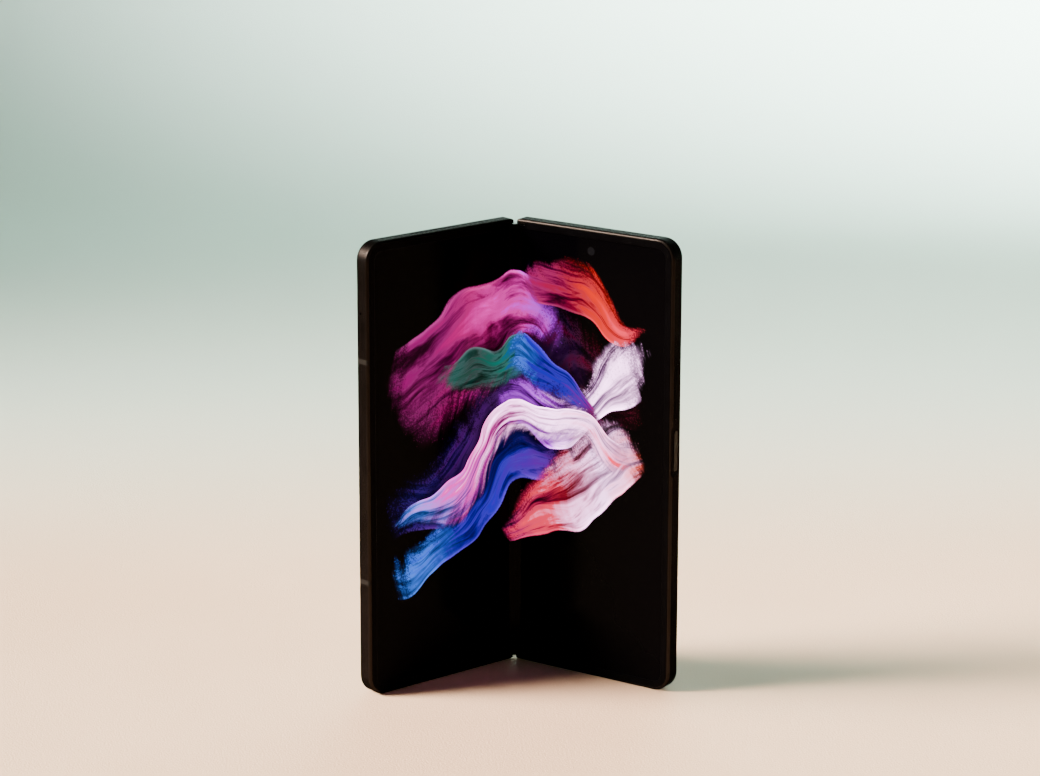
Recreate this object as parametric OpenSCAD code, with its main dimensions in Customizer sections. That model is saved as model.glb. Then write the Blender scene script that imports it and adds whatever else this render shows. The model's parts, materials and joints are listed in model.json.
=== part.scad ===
// Foldable smartphone: two thin halves that open like a book about one fold.
// It stands on its bottom edge, half open, with the inner screen facing -Y.
// The fold runs along +Z over x = 0. The middle of the phone's footprint is at the origin.

/* [Body] */
// Height of the phone, along its fold
body_h = 158.2; // [152:0.2:166]
// Width of one half, from the fold line to its outer edge
half_w = 64.05; // [62:0.05:70]
// Thickness of one half, from its raised lip to its back
body_t = 6.4; // [6.3:0.1:7.4]
// Corner radius of the outline
corner_r = 6.5; // [5.5:0.1:8]
// Rounding of the frame's front edge
front_edge_r = 0.9; // [0.5:0.05:1.2]
// Rounding of the frame's back edge
back_edge_r = 1.6; // [0.8:0.1:1.7]
// Width of the frame's rail
rail_w = 2.6; // [2.4:0.1:3.2]
// How far each half is folded up from flat, in degrees
rest_fold = 37.7; // [10:0.1:80]
// Half the gap between the two frames at the fold
fold_gap = 0.25; // [0.2:0.05:0.9]

/* [Inner screen] */
// How far the plastic bezel stands in front of the screen
lip_t = 0.35; // [0.25:0.05:0.5]
// Inset of the bezel from the outline
bezel_inset = 0.92; // [0.7:0.01:1.2]
// Width of the bezel
bezel_w = 2.33; // [1.8:0.01:3]
// Where the bezels end, from the fold line
bezel_start = 3.8; // [3.3:0.1:6]
// Thickness of the screen: film, ultra-thin glass, panel and backing
panel_t = 0.7; // [0.5:0.05:0.8]
// Inset of the screen from the outline
panel_inset = 2.3; // [2.1:0.1:2.6]
// Half width of the strip of screen that bends
flex_half = 3.2; // [3.1:0.1:3.6]
// Thickness of the metal plates behind the screen
plate_t = 0.15; // [0.1:0.01:0.2]

/* [Backs] */
// Thickness of the glass on both backs
glass_t = 0.6; // [0.4:0.05:0.7]
// Inset of the back glasses from the outline
glass_inset = 1.7; // [1.6:0.1:2.1]
// Thickness of the cover screen's panel
cover_panel_t = 0.7; // [0.4:0.05:0.8]

/* [Hinge] */
// Distance of each fold axis from the fold line
axis_x = 1.95; // [1.9:0.05:2.1]
// Outside radius of the spine about each fold axis
spine_r = 5; // [4.95:0.05:5.1]
// Wall of the spine
spine_wall = 0.6; // [0.5:0.05:0.62]
// Thickness of the rails that pass over the spine's ends
ear_t = 1.6; // [1.2:0.1:1.9]
// Length of each hinge bracket
bracket_len = 20; // [18:0.1:24]
// Distance from each end of the phone to its hinge bracket
bracket_inset = 14; // [8:0.5:30]
// Thickness of the wing plates and of the rotators' feet
wing_t = 0.4; // [0.3:0.05:0.45]
// Reach of the wing plates from the fold line
wing_reach = 11; // [10.5:0.5:14]
// Radius of the gear pins
pin_r = 0.35; // [0.3:0.01:0.4]

/* [Keys and tray] */
// Distance of the volume key's middle from the top
volume_from_top = 52.2; // [46:0.2:55]
// Length of the volume key
volume_len = 19.1; // [16:0.1:21]
// Distance of the power key's middle from the top
power_from_top = 72.7; // [70:0.2:90]
// Length of the power key
power_len = 14.2; // [11:0.1:16]
// Width of both keys
key_w = 2; // [1.6:0.1:2.2]
// How far the keys stand out of the frame
key_proud = 0.15; // [0.1:0.05:0.3]
// Depth of the flat recess around the power key
recess_t = 0.35; // [0.2:0.05:0.5]
// Distance of the card tray's middle from the top
tray_from_top = 29; // [28.6:0.2:36]
// Length of the card tray's face
tray_len = 16.4; // [15:0.1:17]
// Width of the card tray's face
tray_w = 1.9; // [1.6:0.1:2.2]
// How far the card tray reaches into the phone
tray_reach = 22; // [16:0.5:26]

/* [Openings] */
// Number of slots in each speaker grille
grille_count = 10; // [4:1:11]
// Spacing of the speaker slots
grille_pitch = 1.97; // [1.9:0.01:2.1]
// Middle of the speaker grilles, from the fold line
grille_mid = 33.25; // [30:0.25:36]
// Length of one speaker slot
slot_len = 1.3; // [1:0.05:1.6]
// Width of one speaker slot
slot_w = 0.85; // [0.6:0.05:1]
// Radius of a microphone hole
mic_r = 0.45; // [0.3:0.05:0.6]
// Width of an antenna band
band_w = 1.7; // [1:0.1:2.5]
// Distance of the side bands from the top and from the bottom
band_from_end = 40.6; // [40.2:0.1:50]
// Width of the charging socket's mouth
usb_w = 9; // [8.6:0.1:9.4]
// Height of the charging socket's mouth
usb_t = 3; // [2.8:0.1:3.2]

/* [Cameras] */
// Width of the raised camera island
island_w = 15; // [14:0.2:16.4]
// Length of the camera island
island_len = 49; // [48:0.5:52]
// How far the camera island stands out of the back
island_t = 1; // [0.6:0.1:1.4]
// Inset of the island from the phone's outer edge and top
island_inset = 4.2; // [3.6:0.1:5]
// Spacing of the three rear cameras
camera_pitch = 13.2; // [12.6:0.1:13.6]
// Radius of the rear cameras' windows
window_r = 5.1; // [4.4:0.1:5.4]
// Width of the camera modules
module_w = 10.6; // [9.4:0.1:11.4]

/* [Inside] */
// Height at which the batteries start
battery_low = 22; // [21:0.5:30]
// Length of the main board
board_len = 58.5; // [56:0.5:64]
// Length of each speaker
speaker_len = 17; // [14:0.5:17]
// Length of the haptic motor
haptic_len = 11; // [9:0.5:12]
// Width of the haptic motor
haptic_w = 8; // [7:0.5:9]
// Radius of the charging coil
coil_r = 20; // [14:0.5:21]

/* [Fits] */
// Gap between neighbouring parts
gap = 0.1; // [0.05:0.01:0.12]
// Running clearance of a gear on its pin
run_gap = 0.05; // [0.02:0.01:0.08]
// Gap between a key or tray and its slot
key_gap = 0.1; // [0.06:0.01:0.15]

/* [Hidden] */
$fn = 48;

// Colours
metal_black = "#2a282a";
metal_steel = "#9a9da1";
metal_copper = "#b07a4e";
plastic_black = "#18181a";
plastic_band = "#5b534f";
rubber_black = "#101012";
screen_black = "#08080b";
glass_black = "#141416";
board_green = "#1f4a34";
board_gold = "#c9a545";
pack_grey = "#3b3d42";

// Depths behind the front plane of one half, front to back
frame_front = 0.15;
panel_back = lip_t + panel_t;
plate_back = panel_back + plate_t;
wing_back = plate_back + wing_t;
deck_t = 0.6;
deck_back = plate_back + deck_t;
step_back = wing_back + deck_t;
glass_front = body_t - glass_t;
web_front = lip_t + spine_r + 0.15;
mid_depth = (body_t + frame_front) / 2;

// Heights of what is measured from the top
volume_mid = body_h - volume_from_top;
power_mid = body_h - power_from_top;
tray_mid = body_h - tray_from_top;

// Places across one half, from the fold line outwards
hinge_wall_start = axis_x + spine_r + 0.35;
hinge_wall_end = hinge_wall_start + 1;
bay_start = hinge_wall_end + 2 * gap;
bay_end = half_w - rail_w - gap;
bay_bottom = rail_w + gap;
bay_top = body_h - rail_w - gap;
edge_strip_w = 1.2;
glass_start = fold_gap + edge_strip_w + gap / 2;

// Spine
spine_inner_r = spine_r - spine_wall;
spine_front = wing_back + gap;
spine_end = ear_t + 0.2;
cap_len = 2;
insert_r = spine_inner_r - 0.02;
insert_front = spine_front + 0.15;
trough_x = flex_half;
trough_front = insert_front + 0.45;

// How far behind the origin the fold's front plane stands
reach_front = (half_w - axis_x) * sin(rest_fold) - lip_t * (1 - cos(rest_fold))
    - (front_edge_r - frame_front) * cos(rest_fold) - 0.35 * front_edge_r * sin(rest_fold);
reach_back = (axis_x - fold_gap) * sin(rest_fold) + lip_t + (body_t - lip_t) * cos(rest_fold);
fold_y = (reach_front - reach_back) / 2;

// Gears. The rotators' arcs carry inner teeth about the fold axes.
gear_module = 0.2;
gear_teeth = 10;
ring_teeth = 38;
gear_r = gear_teeth * gear_module / 2;
ring_r = ring_teeth * gear_module / 2;
tooth_out = 0.8 * gear_module;
tooth_in = gear_module;
ring_tooth_in = 0.7 * gear_module;
arc_outer_r = insert_r - 0.08;
arc_root_r = ring_r + tooth_in;
rail_inner_r = arc_outer_r - 0.85;
pinion_x = axis_x + gear_r;
pinion_y = lip_t + sqrt(pow(ring_r - gear_r, 2) - pow(gear_r, 2));
idler_x = gear_r;
idler_y = pinion_y + sqrt(pow(2 * gear_r, 2) - pow(pinion_x - idler_x, 2));
mesh_angle = atan2(pinion_y - lip_t, pinion_x - axis_x);
link_angle = atan2(idler_y - pinion_y, idler_x - pinion_x);
// Half widths of a tooth at its root and at its tip, as shares of the tooth spacing
flank_root = 0.28;
flank_tip = 0.075;
ring_flank_root = 0.34;
ring_flank_tip = 0.1;
ring_ratio = ring_teeth / gear_teeth;
ring_step = 360 / ring_teeth;
gear_step = 360 / gear_teeth;
gear_hole_r = gear_r + tooth_out + gap;

// Places along a bracket, which is the same from either end
wall_a = bracket_len / 10;
rail_from = wall_a + gap;
rail_to = rail_from + bracket_len / 6.1;
arc_to = rail_to + bracket_len / 8;
web_from = arc_to + 2 * gap;
web_to = web_from + bracket_len / 25;
cam_r = gear_r + 0.1;
cam_bore_r = cam_r + gap;
cam_to = web_from - bracket_len / 40;
cam_from = cam_to - bracket_len / 20;
hub_r = 0.75;
spring_from = wall_a / 2;

// The strip of screen that bends is an arc between two flats of the same total length
fold_rad = rest_fold * PI / 180;
arc_half = axis_x * (1 / cos(rest_fold) - 1) / (tan(rest_fold) / fold_rad - 1);
arc_r = arc_half / fold_rad;
arc_bottom = lip_t + axis_x * tan(rest_fold) - arc_r * (1 / cos(rest_fold) - 1);
arc_centre = arc_bottom - arc_r;

// ---------- placing ----------

// The fold and its hinge: x across, y the depth behind the lips, z the height
module spine_frame() {
    translate([0, fold_y, 0]) children();
}

// One half: x from the fold line outwards, y the depth, z the height
module half_section(side) {
    translate([side * axis_x, fold_y + lip_t, 0])
        rotate([0, 0, -side * rest_fold])
            translate([-side * axis_x, -lip_t, 0]) {
                if (side < 0) mirror([1, 0, 0]) children();
                else children();
            }
}

// One half seen from the front: x outwards, y up, z towards the viewer
module half_plan(side) {
    half_section(side) rotate([90, 0, 0]) children();
}

// A flat outline made solid between two depths
module layer(from, to) {
    translate([0, 0, -to]) linear_extrude(to - from) children();
}

// A section made solid between two heights
module rise(from, to) {
    translate([0, 0, from]) linear_extrude(to - from) children();
}

// An outline of height and depth made solid outwards, in the plan view
module outwards(from, to, height, depth) {
    translate([from, height, -depth]) rotate([90, 0, 90]) linear_extrude(to - from) children();
}

// An outline of width and depth made solid upwards, in the plan view
module upwards(from, to, width, depth) {
    translate([width, to, -depth]) rotate([90, 0, 0]) linear_extrude(to - from) children();
}

// ---------- flat shapes ----------

module pill(length, width) {
    square([length - width, width], center = true);
    for (end = [-1, 1]) translate([end * (length - width) / 2, 0]) circle(width / 2);
}

// A rectangle between two corners, with rounded corners
module panel(x0, x1, y0, y1, r) {
    translate([x0 + r, y0]) square([x1 - x0 - 2 * r, y1 - y0]);
    translate([x0, y0 + r]) square([x1 - x0, y1 - y0 - 2 * r]);
    for (x = [x0 + r, x1 - r], y = [y0 + r, y1 - r]) translate([x, y]) circle(r);
}

// The outline of one half, inset, from a start near the fold
module half_outline(inset, start) {
    r = corner_r - inset;
    translate([start, inset]) square([half_w - inset - r - start, body_h - 2 * inset]);
    translate([half_w - corner_r, corner_r]) square([r, body_h - 2 * corner_r]);
    for (y = [corner_r, body_h - corner_r]) translate([half_w - corner_r, y]) circle(r);
}

// What a rounding of radius r takes off a corner at the origin
module corner_waste(r) {
    difference() {
        translate([-r, -r]) square(r + 1);
        translate([-r, -r]) circle(r);
    }
}

module ring_sector(r0, r1, from, to) {
    mid = (from + to) / 2;
    reach = 3 * r1;
    intersection() {
        difference() {
            circle(r1);
            circle(r0);
        }
        polygon([[0, 0], reach * [cos(from), sin(from)], reach * [cos(mid), sin(mid)],
            reach * [cos(to), sin(to)]]);
    }
}

// The spine's stadium section, cut off at a depth
module spine_shape(r, front) {
    intersection() {
        union() {
            for (side = [-1, 1]) translate([side * axis_x, lip_t]) circle(r);
            translate([-axis_x, lip_t]) square([2 * axis_x, r]);
        }
        translate([-2 * r, front]) square([4 * r, 2 * r]);
    }
}

function polar(r, angle) = [r * cos(angle), r * sin(angle)];
function polar_y(r, angle) = [r * sin(angle), r * cos(angle)];

// A small spur gear with straight flanks
module gear_shape(turn) {
    root = gear_r - tooth_in;
    tip = gear_r + tooth_out;
    flank = [[root, -flank_root], [tip, -flank_tip], [tip, flank_tip], [root, flank_root]];
    polygon([for (i = [0 : gear_teeth - 1], p = flank) polar(p[0], turn + gear_step * (i + p[1]))]);
}

// ---------- sweeping round the outline ----------

// Carries a rail section along the top, the outer side and the bottom.
// The section's x runs from the corner's centre outwards and its y is minus the depth.
module rim(start) {
    straight = half_w - corner_r - start;
    translate([half_w - corner_r, body_h - corner_r, 0])
        rotate([90, 0, 0]) linear_extrude(body_h - 2 * corner_r) children();
    translate([half_w - corner_r, corner_r, 0])
        rotate([90, 0, -90]) linear_extrude(straight) children();
    translate([start, body_h - corner_r, 0])
        rotate([90, 0, 90]) linear_extrude(straight) children();
    translate([half_w - corner_r, body_h - corner_r, 0])
        rotate_extrude(angle = 90) children();
    translate([half_w - corner_r, corner_r, 0])
        rotate([0, 0, -90]) rotate_extrude(angle = 90) children();
}

module rail_section() {
    difference() {
        translate([corner_r - rail_w, -body_t]) square([rail_w, body_t - frame_front]);
        translate([corner_r, -frame_front]) corner_waste(front_edge_r);
        translate([corner_r, -body_t]) mirror([0, 1]) corner_waste(back_edge_r);
        translate([0, -lip_t]) square([corner_r - bezel_inset, lip_t]);
        translate([0, -plate_back]) square([corner_r - panel_inset + gap, plate_back]);
        translate([0, -body_t - gap]) square([corner_r - glass_inset + gap / 2, glass_t + gap]);
    }
}

module bezel_section() {
    outer = corner_r - bezel_inset - gap / 5;
    chamfer = 0.15;
    polygon([[outer - bezel_w, -lip_t], [outer, -lip_t], [outer, -chamfer], [outer - chamfer, 0],
        [outer - bezel_w + chamfer, 0], [outer - bezel_w, -chamfer]]);
}

// ---------- frames ----------

module frame_body() {
    lap = 0.5;
    rim(fold_gap) rail_section();
    layer(plate_back, deck_back) half_outline(rail_w - lap, wing_reach + gap);
    layer(wing_back, step_back)
        translate([hinge_wall_start, rail_w - lap])
            square([wing_reach + 2 - hinge_wall_start, body_h - 2 * (rail_w - lap)]);
    layer(wing_back, glass_front)
        translate([hinge_wall_start, rail_w - lap])
            square([hinge_wall_end - hinge_wall_start, body_h - 2 * (rail_w - lap)]);
    layer(web_front, glass_front)
        translate([fold_gap, ear_t - lap])
            square([hinge_wall_end - fold_gap, body_h - 2 * (ear_t - lap)]);
    layer(web_front, body_t)
        translate([fold_gap, back_edge_r])
            square([edge_strip_w, body_h - 2 * back_edge_r]);
}

// The room that the spine takes between the two rails
module spine_room() {
    layer(-1, web_front)
        translate([-1, ear_t]) square([hinge_wall_start + 1, body_h - 2 * ear_t]);
    layer(-1, wing_back)
        translate([-1, panel_inset - gap])
            square([wing_reach + gap + 1, body_h - 2 * (panel_inset - gap)]);
}

module ear_rounding() {
    r = 1;
    layer(-1, body_t + 1) {
        translate([fold_gap, 0]) mirror([1, 0]) mirror([0, 1]) corner_waste(r);
        translate([fold_gap, body_h]) mirror([1, 0]) corner_waste(r);
    }
}

wing_screw_u = (hinge_wall_start + wing_reach) / 2 + 0.15;
wing_screw_r = 0.4;
wing_head_r = 0.8;
wing_head_t = 0.2;
bracket_starts = [bracket_inset, body_h - bracket_inset - bracket_len];
screw_from_end = 6;
screw_from_middle = 22;
plain_screw_heights = [screw_from_end, body_h / 2 - screw_from_middle,
    body_h / 2 + screw_from_middle, body_h - screw_from_end];

// Where a rotator's foot starts, from the bottom of the phone
function foot_start(side, bracket) =
    bracket + (side < 0 ? rail_from : bracket_len - arc_to);
function foot_screw_heights(side) =
    [for (b = bracket_starts, k = [0.25, 0.75]) foot_start(side, b) + k * (arc_to - rail_from)];
function screw_heights(side) = concat(plain_screw_heights, foot_screw_heights(side));

// Slots in the hinge-side wall that let the flat cables in
module flex_slots() {
    for (h = flex_heights)
        translate([hinge_wall_start - 1, h - flex_w / 2 - gap, -step_back - 1])
            cube([hinge_wall_end - hinge_wall_start + 2, flex_w + 2 * gap, 1 + gap / 10]);
}

module wing_screw_holes(side) {
    for (h = screw_heights(side))
        translate([wing_screw_u, h, -step_back - gap]) cylinder(r = wing_screw_r, h = step_back);
}

// Bands: [along the side rail?, place]
bands_left = [[true, body_h - band_from_end], [true, band_from_end]];
band_from_fold = 12;
band_from_side = 10.5;
bands_right = [[false, band_from_fold], [false, half_w - band_from_side]];
band_depth = 2;

module band_bar(along_side, place) {
    if (along_side)
        translate([half_w - corner_r, place + band_w / 2, 0])
            rotate([90, 0, 0]) linear_extrude(band_w) children();
    else
        translate([place - band_w / 2, corner_r, 0])
            rotate([90, 0, -90]) translate([0, 0, -band_w]) linear_extrude(band_w) children();
}

module band_cuts(bands) {
    for (b = bands)
        band_bar(b[0], b[1])
            translate([corner_r - band_depth, -body_t - 1]) square([band_depth + 1, body_t + 2]);
}

module antenna_bands(side, bands) {
    color(plastic_band) half_plan(side)
        for (b = bands)
            band_bar(b[0], b[1])
                intersection() {
                    rail_section();
                    translate([corner_r - band_depth, -body_t - 1]) square([band_depth + 1, body_t + 2]);
                }
}

grille_depth = mid_depth - 0.1;
module grille_cuts() {
    for (ends = [[-1, rail_w + 1], [body_h - rail_w - 1, body_h + 1]])
        for (i = [0 : grille_count - 1])
            upwards(ends[0], ends[1], grille_mid + (i - (grille_count - 1) / 2) * grille_pitch,
                grille_depth) pill(slot_len, slot_w);
}

mic_top = [16.05, 36.7];
mic_bottom = [44];
module mic_cuts() {
    for (u = mic_top) upwards(body_h - rail_w - 1, body_h + 1, u, grille_depth) circle(mic_r);
    for (u = mic_bottom) upwards(-1, rail_w + 1, u, grille_depth) circle(mic_r);
}

usb_mid = 30;
usb_depth = mid_depth + 0.1;
key_depth = mid_depth - 0.1;
recess_ramp = 1.4;
recess_half = power_len / 2 + 0.3;

// A flat on the side rail with a ramp at each end
module power_recess() {
    recess_mouth = recess_half + recess_ramp * (1 + 1 / recess_t);
    translate([0, power_mid, 0]) layer(-1, body_t + 1)
        polygon([[half_w - recess_t, -recess_half], [half_w + 1, -recess_mouth],
            [half_w + 1, recess_mouth], [half_w - recess_t, recess_half]]);
}

module frame_left() {
    color(metal_black) half_plan(-1)
        difference() {
            frame_body();
            spine_room();
            ear_rounding();
            wing_screw_holes(-1);
            flex_slots();
            band_cuts(bands_left);
            grille_cuts();
            outwards(half_w - rail_w - 1, half_w + 1, tray_mid, tray_depth)
                pill(tray_len + 2 * key_gap, tray_w + 2 * key_gap);
        }
}

module frame_right() {
    color(metal_black) half_plan(1)
        difference() {
            frame_body();
            spine_room();
            ear_rounding();
            wing_screw_holes(1);
            flex_slots();
            band_cuts(bands_right);
            mic_cuts();
            upwards(-1, rail_w + 1, usb_mid, usb_depth) pill(usb_w, usb_t);
            power_recess();
            outwards(half_w - rail_w - 1, half_w + 1, volume_mid, key_depth)
                pill(volume_len + 2 * key_gap, key_w + 2 * key_gap);
            outwards(half_w - rail_w - 1, half_w + 1, power_mid, key_depth)
                pill(power_len + 2 * key_gap, key_w + 2 * key_gap);
            layer(plate_back - gap, deck_back + gap) translate([selfie_u, selfie_h]) circle(selfie_r + gap);
        }
}

// ---------- inner screen ----------

module bezel(side) {
    color(plastic_black) half_plan(side) rim(bezel_start) bezel_section();
}

module screen_half(side) {
    color(screen_black) half_plan(side) layer(lip_t, panel_back) half_outline(panel_inset, flex_half);
}

module support_plate(side) {
    color(metal_steel) half_plan(side)
        difference() {
            layer(panel_back, plate_back) half_outline(panel_inset, flex_half);
            if (side > 0)
                layer(lip_t, deck_back) translate([selfie_u, selfie_h]) circle(selfie_r + gap);
        }
}

// The bent strip between two depths behind the screen's surface
bend_steps = 16;
function bent_side(side, depth) = let (end = side * rest_fold)
    [polar_y(arc_r + depth, end) + (flex_half - arc_half) * [side * cos(end), -sin(abs(end))]];
function bent_line(depth) = concat(bent_side(-1, depth),
    [for (i = [0 : bend_steps]) polar_y(arc_r + depth, rest_fold * (2 * i / bend_steps - 1))],
    bent_side(1, depth));
function backwards(list) = [for (i = [len(list) - 1 : -1 : 0]) list[i]];

module bent_strip(from, to) {
    translate([0, arc_centre]) polygon(concat(bent_line(from), backwards(bent_line(to))));
}

module screen_fold() {
    color(screen_black) spine_frame()
        rise(panel_inset, body_h - panel_inset) bent_strip(0, panel_t);
}

lattice_rows = 3;
lattice_pitch = 7;
module fold_lattice() {
    slots = floor((body_h - 4 * panel_inset) / lattice_pitch);
    color(metal_steel) spine_frame()
        difference() {
            rise(panel_inset, body_h - panel_inset) bent_strip(panel_t, panel_t + plate_t);
            for (row = [0 : lattice_rows - 1], i = [0 : slots - 1])
                translate([(row - (lattice_rows - 1) / 2) * 1.1, arc_bottom,
                    body_h / 2 + (i - (slots - 1) / 2 + (row % 2) / 2 - 0.25) * lattice_pitch])
                    cube([0.3, 3, lattice_pitch * 0.7], center = true);
        }
}

// ---------- hinge ----------

module spine_cover() {
    color(metal_black) spine_frame()
        difference() {
            rise(spine_end, body_h - spine_end)
                difference() {
                    spine_shape(spine_r, spine_front);
                    spine_shape(spine_inner_r, spine_front - 1);
                }
            for (b = bracket_starts, s = screw_places) translate([0, lip_t, b + s])
                rotate([-90, 0, 0]) cylinder(r = bracket_screw_r, h = spine_inner_r + spine_wall / 2);
            for (h = flex_heights, side = [-1, 1])
                translate([side * (axis_x + spine_r), spine_front, h])
                    cube([4, 1.1, flex_w + 1], center = true);
        }
}

module spine_end_caps() {
    color(plastic_black) spine_frame()
        for (h = [spine_end, body_h - spine_end - cap_len])
            rise(h, h + cap_len) spine_shape(insert_r, insert_front);
}

// Small T-shaped caps over the ends of the fold
fold_cap_half = 1.3;
fold_cap_len = 1.6;
module fold_end_caps() {
    color(plastic_black) spine_frame()
        for (up = [0, 1]) translate([0, 0, up * body_h]) mirror([0, 0, up]) {
            translate([-fold_cap_half, 0, ear_t + gap / 2])
                cube([2 * fold_cap_half, lip_t - 0.05, fold_cap_len]);
            translate([-fold_cap_half / 2, 0, ear_t + gap / 2])
                cube([fold_cap_half, insert_front, panel_inset - ear_t - gap]);
        }
}

// Bracket sections, seen along the fold. The left rotator's side comes first.
module bracket_full() {
    difference() {
        spine_shape(insert_r, insert_front);
        translate([-trough_x, 0]) square([2 * trough_x, trough_front]);
    }
}

module at_pinion(side) {
    translate([side * pinion_x, pinion_y]) children();
}

module at_idler(side) {
    translate([side * idler_x, idler_y]) children();
}

module arc_channel() {
    translate([-axis_x, lip_t])
        difference() {
            circle(spine_inner_r + 0.05);
            circle(rail_inner_r - gap);
        }
}

// What is cut from one end of a bracket: the left rotator's way and the right pinion's bores
module bracket_cuts() {
    rise(wall_a, rail_to + gap) arc_channel();
    rise(rail_to + gap, web_from) translate([-axis_x, lip_t]) circle(spine_inner_r + 0.05);
    rise(rail_to + gap, bracket_len - web_to) at_pinion(-1) circle(gear_hole_r);
    rise(spring_from, web_from) at_pinion(1) circle(cam_bore_r);
    rise(spring_from, web_to + gap) at_pinion(1) circle(hub_r + gap);
    rise(-1, pin_to) at_pinion(1) circle(pin_r);
    rise(web_from, bracket_len - web_from) at_idler(1) circle(pin_r);
    rise(web_to, bracket_len - web_to) at_idler(1) circle(gear_hole_r);
}

// Turns what is at one end of a bracket round to the other end
module other_end() {
    translate([0, 0, bracket_len]) mirror([0, 0, 1]) mirror([1, 0, 0]) children();
}

bracket_screw_r = 0.4;
bracket_head_r = 0.75;
bracket_head_t = 0.4;
screw_places = [wall_a / 2, bracket_len - wall_a / 2];
module hinge_bracket(start) {
    window = idler_x + 0.6 * gear_hole_r;
    color(metal_steel) spine_frame() translate([0, 0, start])
        difference() {
            rise(0, bracket_len) bracket_full();
            bracket_cuts();
            other_end() bracket_cuts();
            rise(web_to, bracket_len - web_to)
                translate([-window, idler_y]) square([2 * window, spine_r]);
            for (s = screw_places) {
                translate([0, lip_t, s]) rotate([-90, 0, 0])
                    cylinder(r = bracket_screw_r, h = spine_r);
                translate([0, lip_t, s]) rotate([-90, 0, 0])
                    cylinder(r = bracket_head_r, h = trough_front + bracket_head_t - lip_t);
            }
        }
}

module bracket_screws() {
    screw_tip = lip_t + spine_inner_r + spine_wall / 2;
    color(metal_steel) spine_frame()
        for (b = bracket_starts, s = screw_places) translate([0, 0, b + s]) rotate([-90, 0, 0]) {
            translate([0, 0, trough_front]) cylinder(r = bracket_head_r, h = bracket_head_t);
            translate([0, 0, trough_front]) cylinder(r = bracket_screw_r, h = screw_tip - trough_front);
        }
}

// A section at both brackets, from the left end and from the right end
module in_brackets(both_ends) {
    spine_frame() for (b = bracket_starts) translate([0, 0, b]) {
        children();
        if (both_ends) other_end() children();
    }
}

pin_to = bracket_len - wall_a - 0.5;
module gear_pins() {
    color(metal_steel) in_brackets(true) {
        rise(gap, pin_to) at_pinion(1) circle(pin_r);
        rise(web_from, bracket_len / 2 + (bracket_len / 2 - web_from)) at_idler(1) circle(pin_r);
    }
}

// Stacks of disc springs that press on the pinions' cams and hold the fold where it is left
module friction_springs() {
    discs = 6;
    length = cam_from - gap - spring_from;
    step = length / discs;
    inner = pin_r + gap;
    outer = cam_r - gap / 2;
    wall = step * 0.5;
    color(metal_steel) in_brackets(true)
        translate([pinion_x, pinion_y, spring_from])
            rotate_extrude()
                polygon(concat(
                    [for (i = [0 : discs]) [i % 2 == 0 ? inner : outer - wall, i * step]],
                    [for (i = [discs : -1 : 0]) [i % 2 == 0 ? inner + wall : outer, i * step]]));
}

// Gear angles when the phone lies flat, then turned with the fold
pinion_flat = mesh_angle;
idler_flat = 2 * link_angle + 180 + gear_step / 2 - pinion_flat;
idler_flat_left = 360 + 180 + gear_step / 2 - idler_flat;
pinion_flat_left = 2 * (360 - link_angle) + 180 + gear_step / 2 - idler_flat_left;
gear_turn = ring_ratio * rest_fold;

module pinion_body(turn) {
    gear_end = bracket_len - web_to - gap;
    difference() {
        union() {
            rise(rail_to + gap, gear_end) gear_shape(turn);
            rise(gear_end - gap, bracket_len - cam_to) circle(hub_r);
            rise(bracket_len - cam_to - gap, bracket_len - cam_from) circle(cam_r);
        }
        rise(0, bracket_len) circle(pin_r + run_gap);
    }
}

module pinion_left() {
    color(metal_steel) in_brackets(false)
        translate([-pinion_x, pinion_y, 0]) pinion_body(pinion_flat_left + gear_turn);
}

module pinion_right() {
    color(metal_steel) in_brackets(false)
        translate([pinion_x, pinion_y, bracket_len]) mirror([0, 0, 1]) pinion_body(pinion_flat - gear_turn);
}

module idler(side, turn) {
    color(metal_steel) in_brackets(false)
        rise(web_to + gap, bracket_len - web_to - gap)
            translate([side * idler_x, idler_y])
                difference() {
                    gear_shape(turn);
                    circle(pin_r + run_gap);
                }
}

module wing_outline(side) {
    feet = [for (b = bracket_starts) foot_start(side, b)];
    difference() {
        translate([flex_half + gap, panel_inset + gap])
            square([wing_reach - flex_half - gap, body_h - 2 * (panel_inset + gap)]);
        for (f = feet)
            translate([0, f - gap]) square([wing_reach + 1, arc_to - rail_from + 2 * gap]);
    }
}

module screw_heads(side, heights) {
    for (h = heights) translate([wing_screw_u, h, -wing_back]) {
        cylinder(r = wing_screw_r, h = wing_back);
        translate([0, 0, wing_t - wing_head_t]) cylinder(r = wing_head_r, h = wing_back);
    }
}

module wing_plate(side) {
    color(metal_steel) half_plan(side)
        difference() {
            layer(plate_back, wing_back) wing_outline(side);
            screw_heads(side, plain_screw_heights);
            if (side > 0)
                layer(lip_t, deck_back) translate([selfie_u, selfie_h]) circle(selfie_r + gap);
        }
}

module wing_screws(side) {
    color(metal_steel) half_plan(side)
        for (h = screw_heights(side)) translate([wing_screw_u, h, 0]) {
            translate([0, 0, -step_back])
                cylinder(r = wing_screw_r, h = step_back - plate_back);
            translate([0, 0, -plate_back - wing_head_t])
                cylinder(r = wing_head_r, h = wing_head_t);
        }
}

// Ends of the rail and of the toothed arc, in degrees about the fold axis
arc_start = 5;
rail_stop = 150;
teeth_stop = 162;
foot_lap = 0.6;
module arc_teeth(phase) {
    first = ceil((mesh_angle - 8 - phase) / ring_step);
    last = floor((teeth_stop - 2 - phase) / ring_step);
    for (i = [first : last]) {
        a = phase + i * ring_step;
        wide = ring_flank_root * ring_step;
        narrow = ring_flank_tip * ring_step;
        polygon([polar(arc_root_r + 0.05, a - wide), polar(ring_r - ring_tooth_in, a - narrow),
            polar(ring_r - ring_tooth_in, a + narrow), polar(arc_root_r + 0.05, a + wide)]);
    }
}

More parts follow.
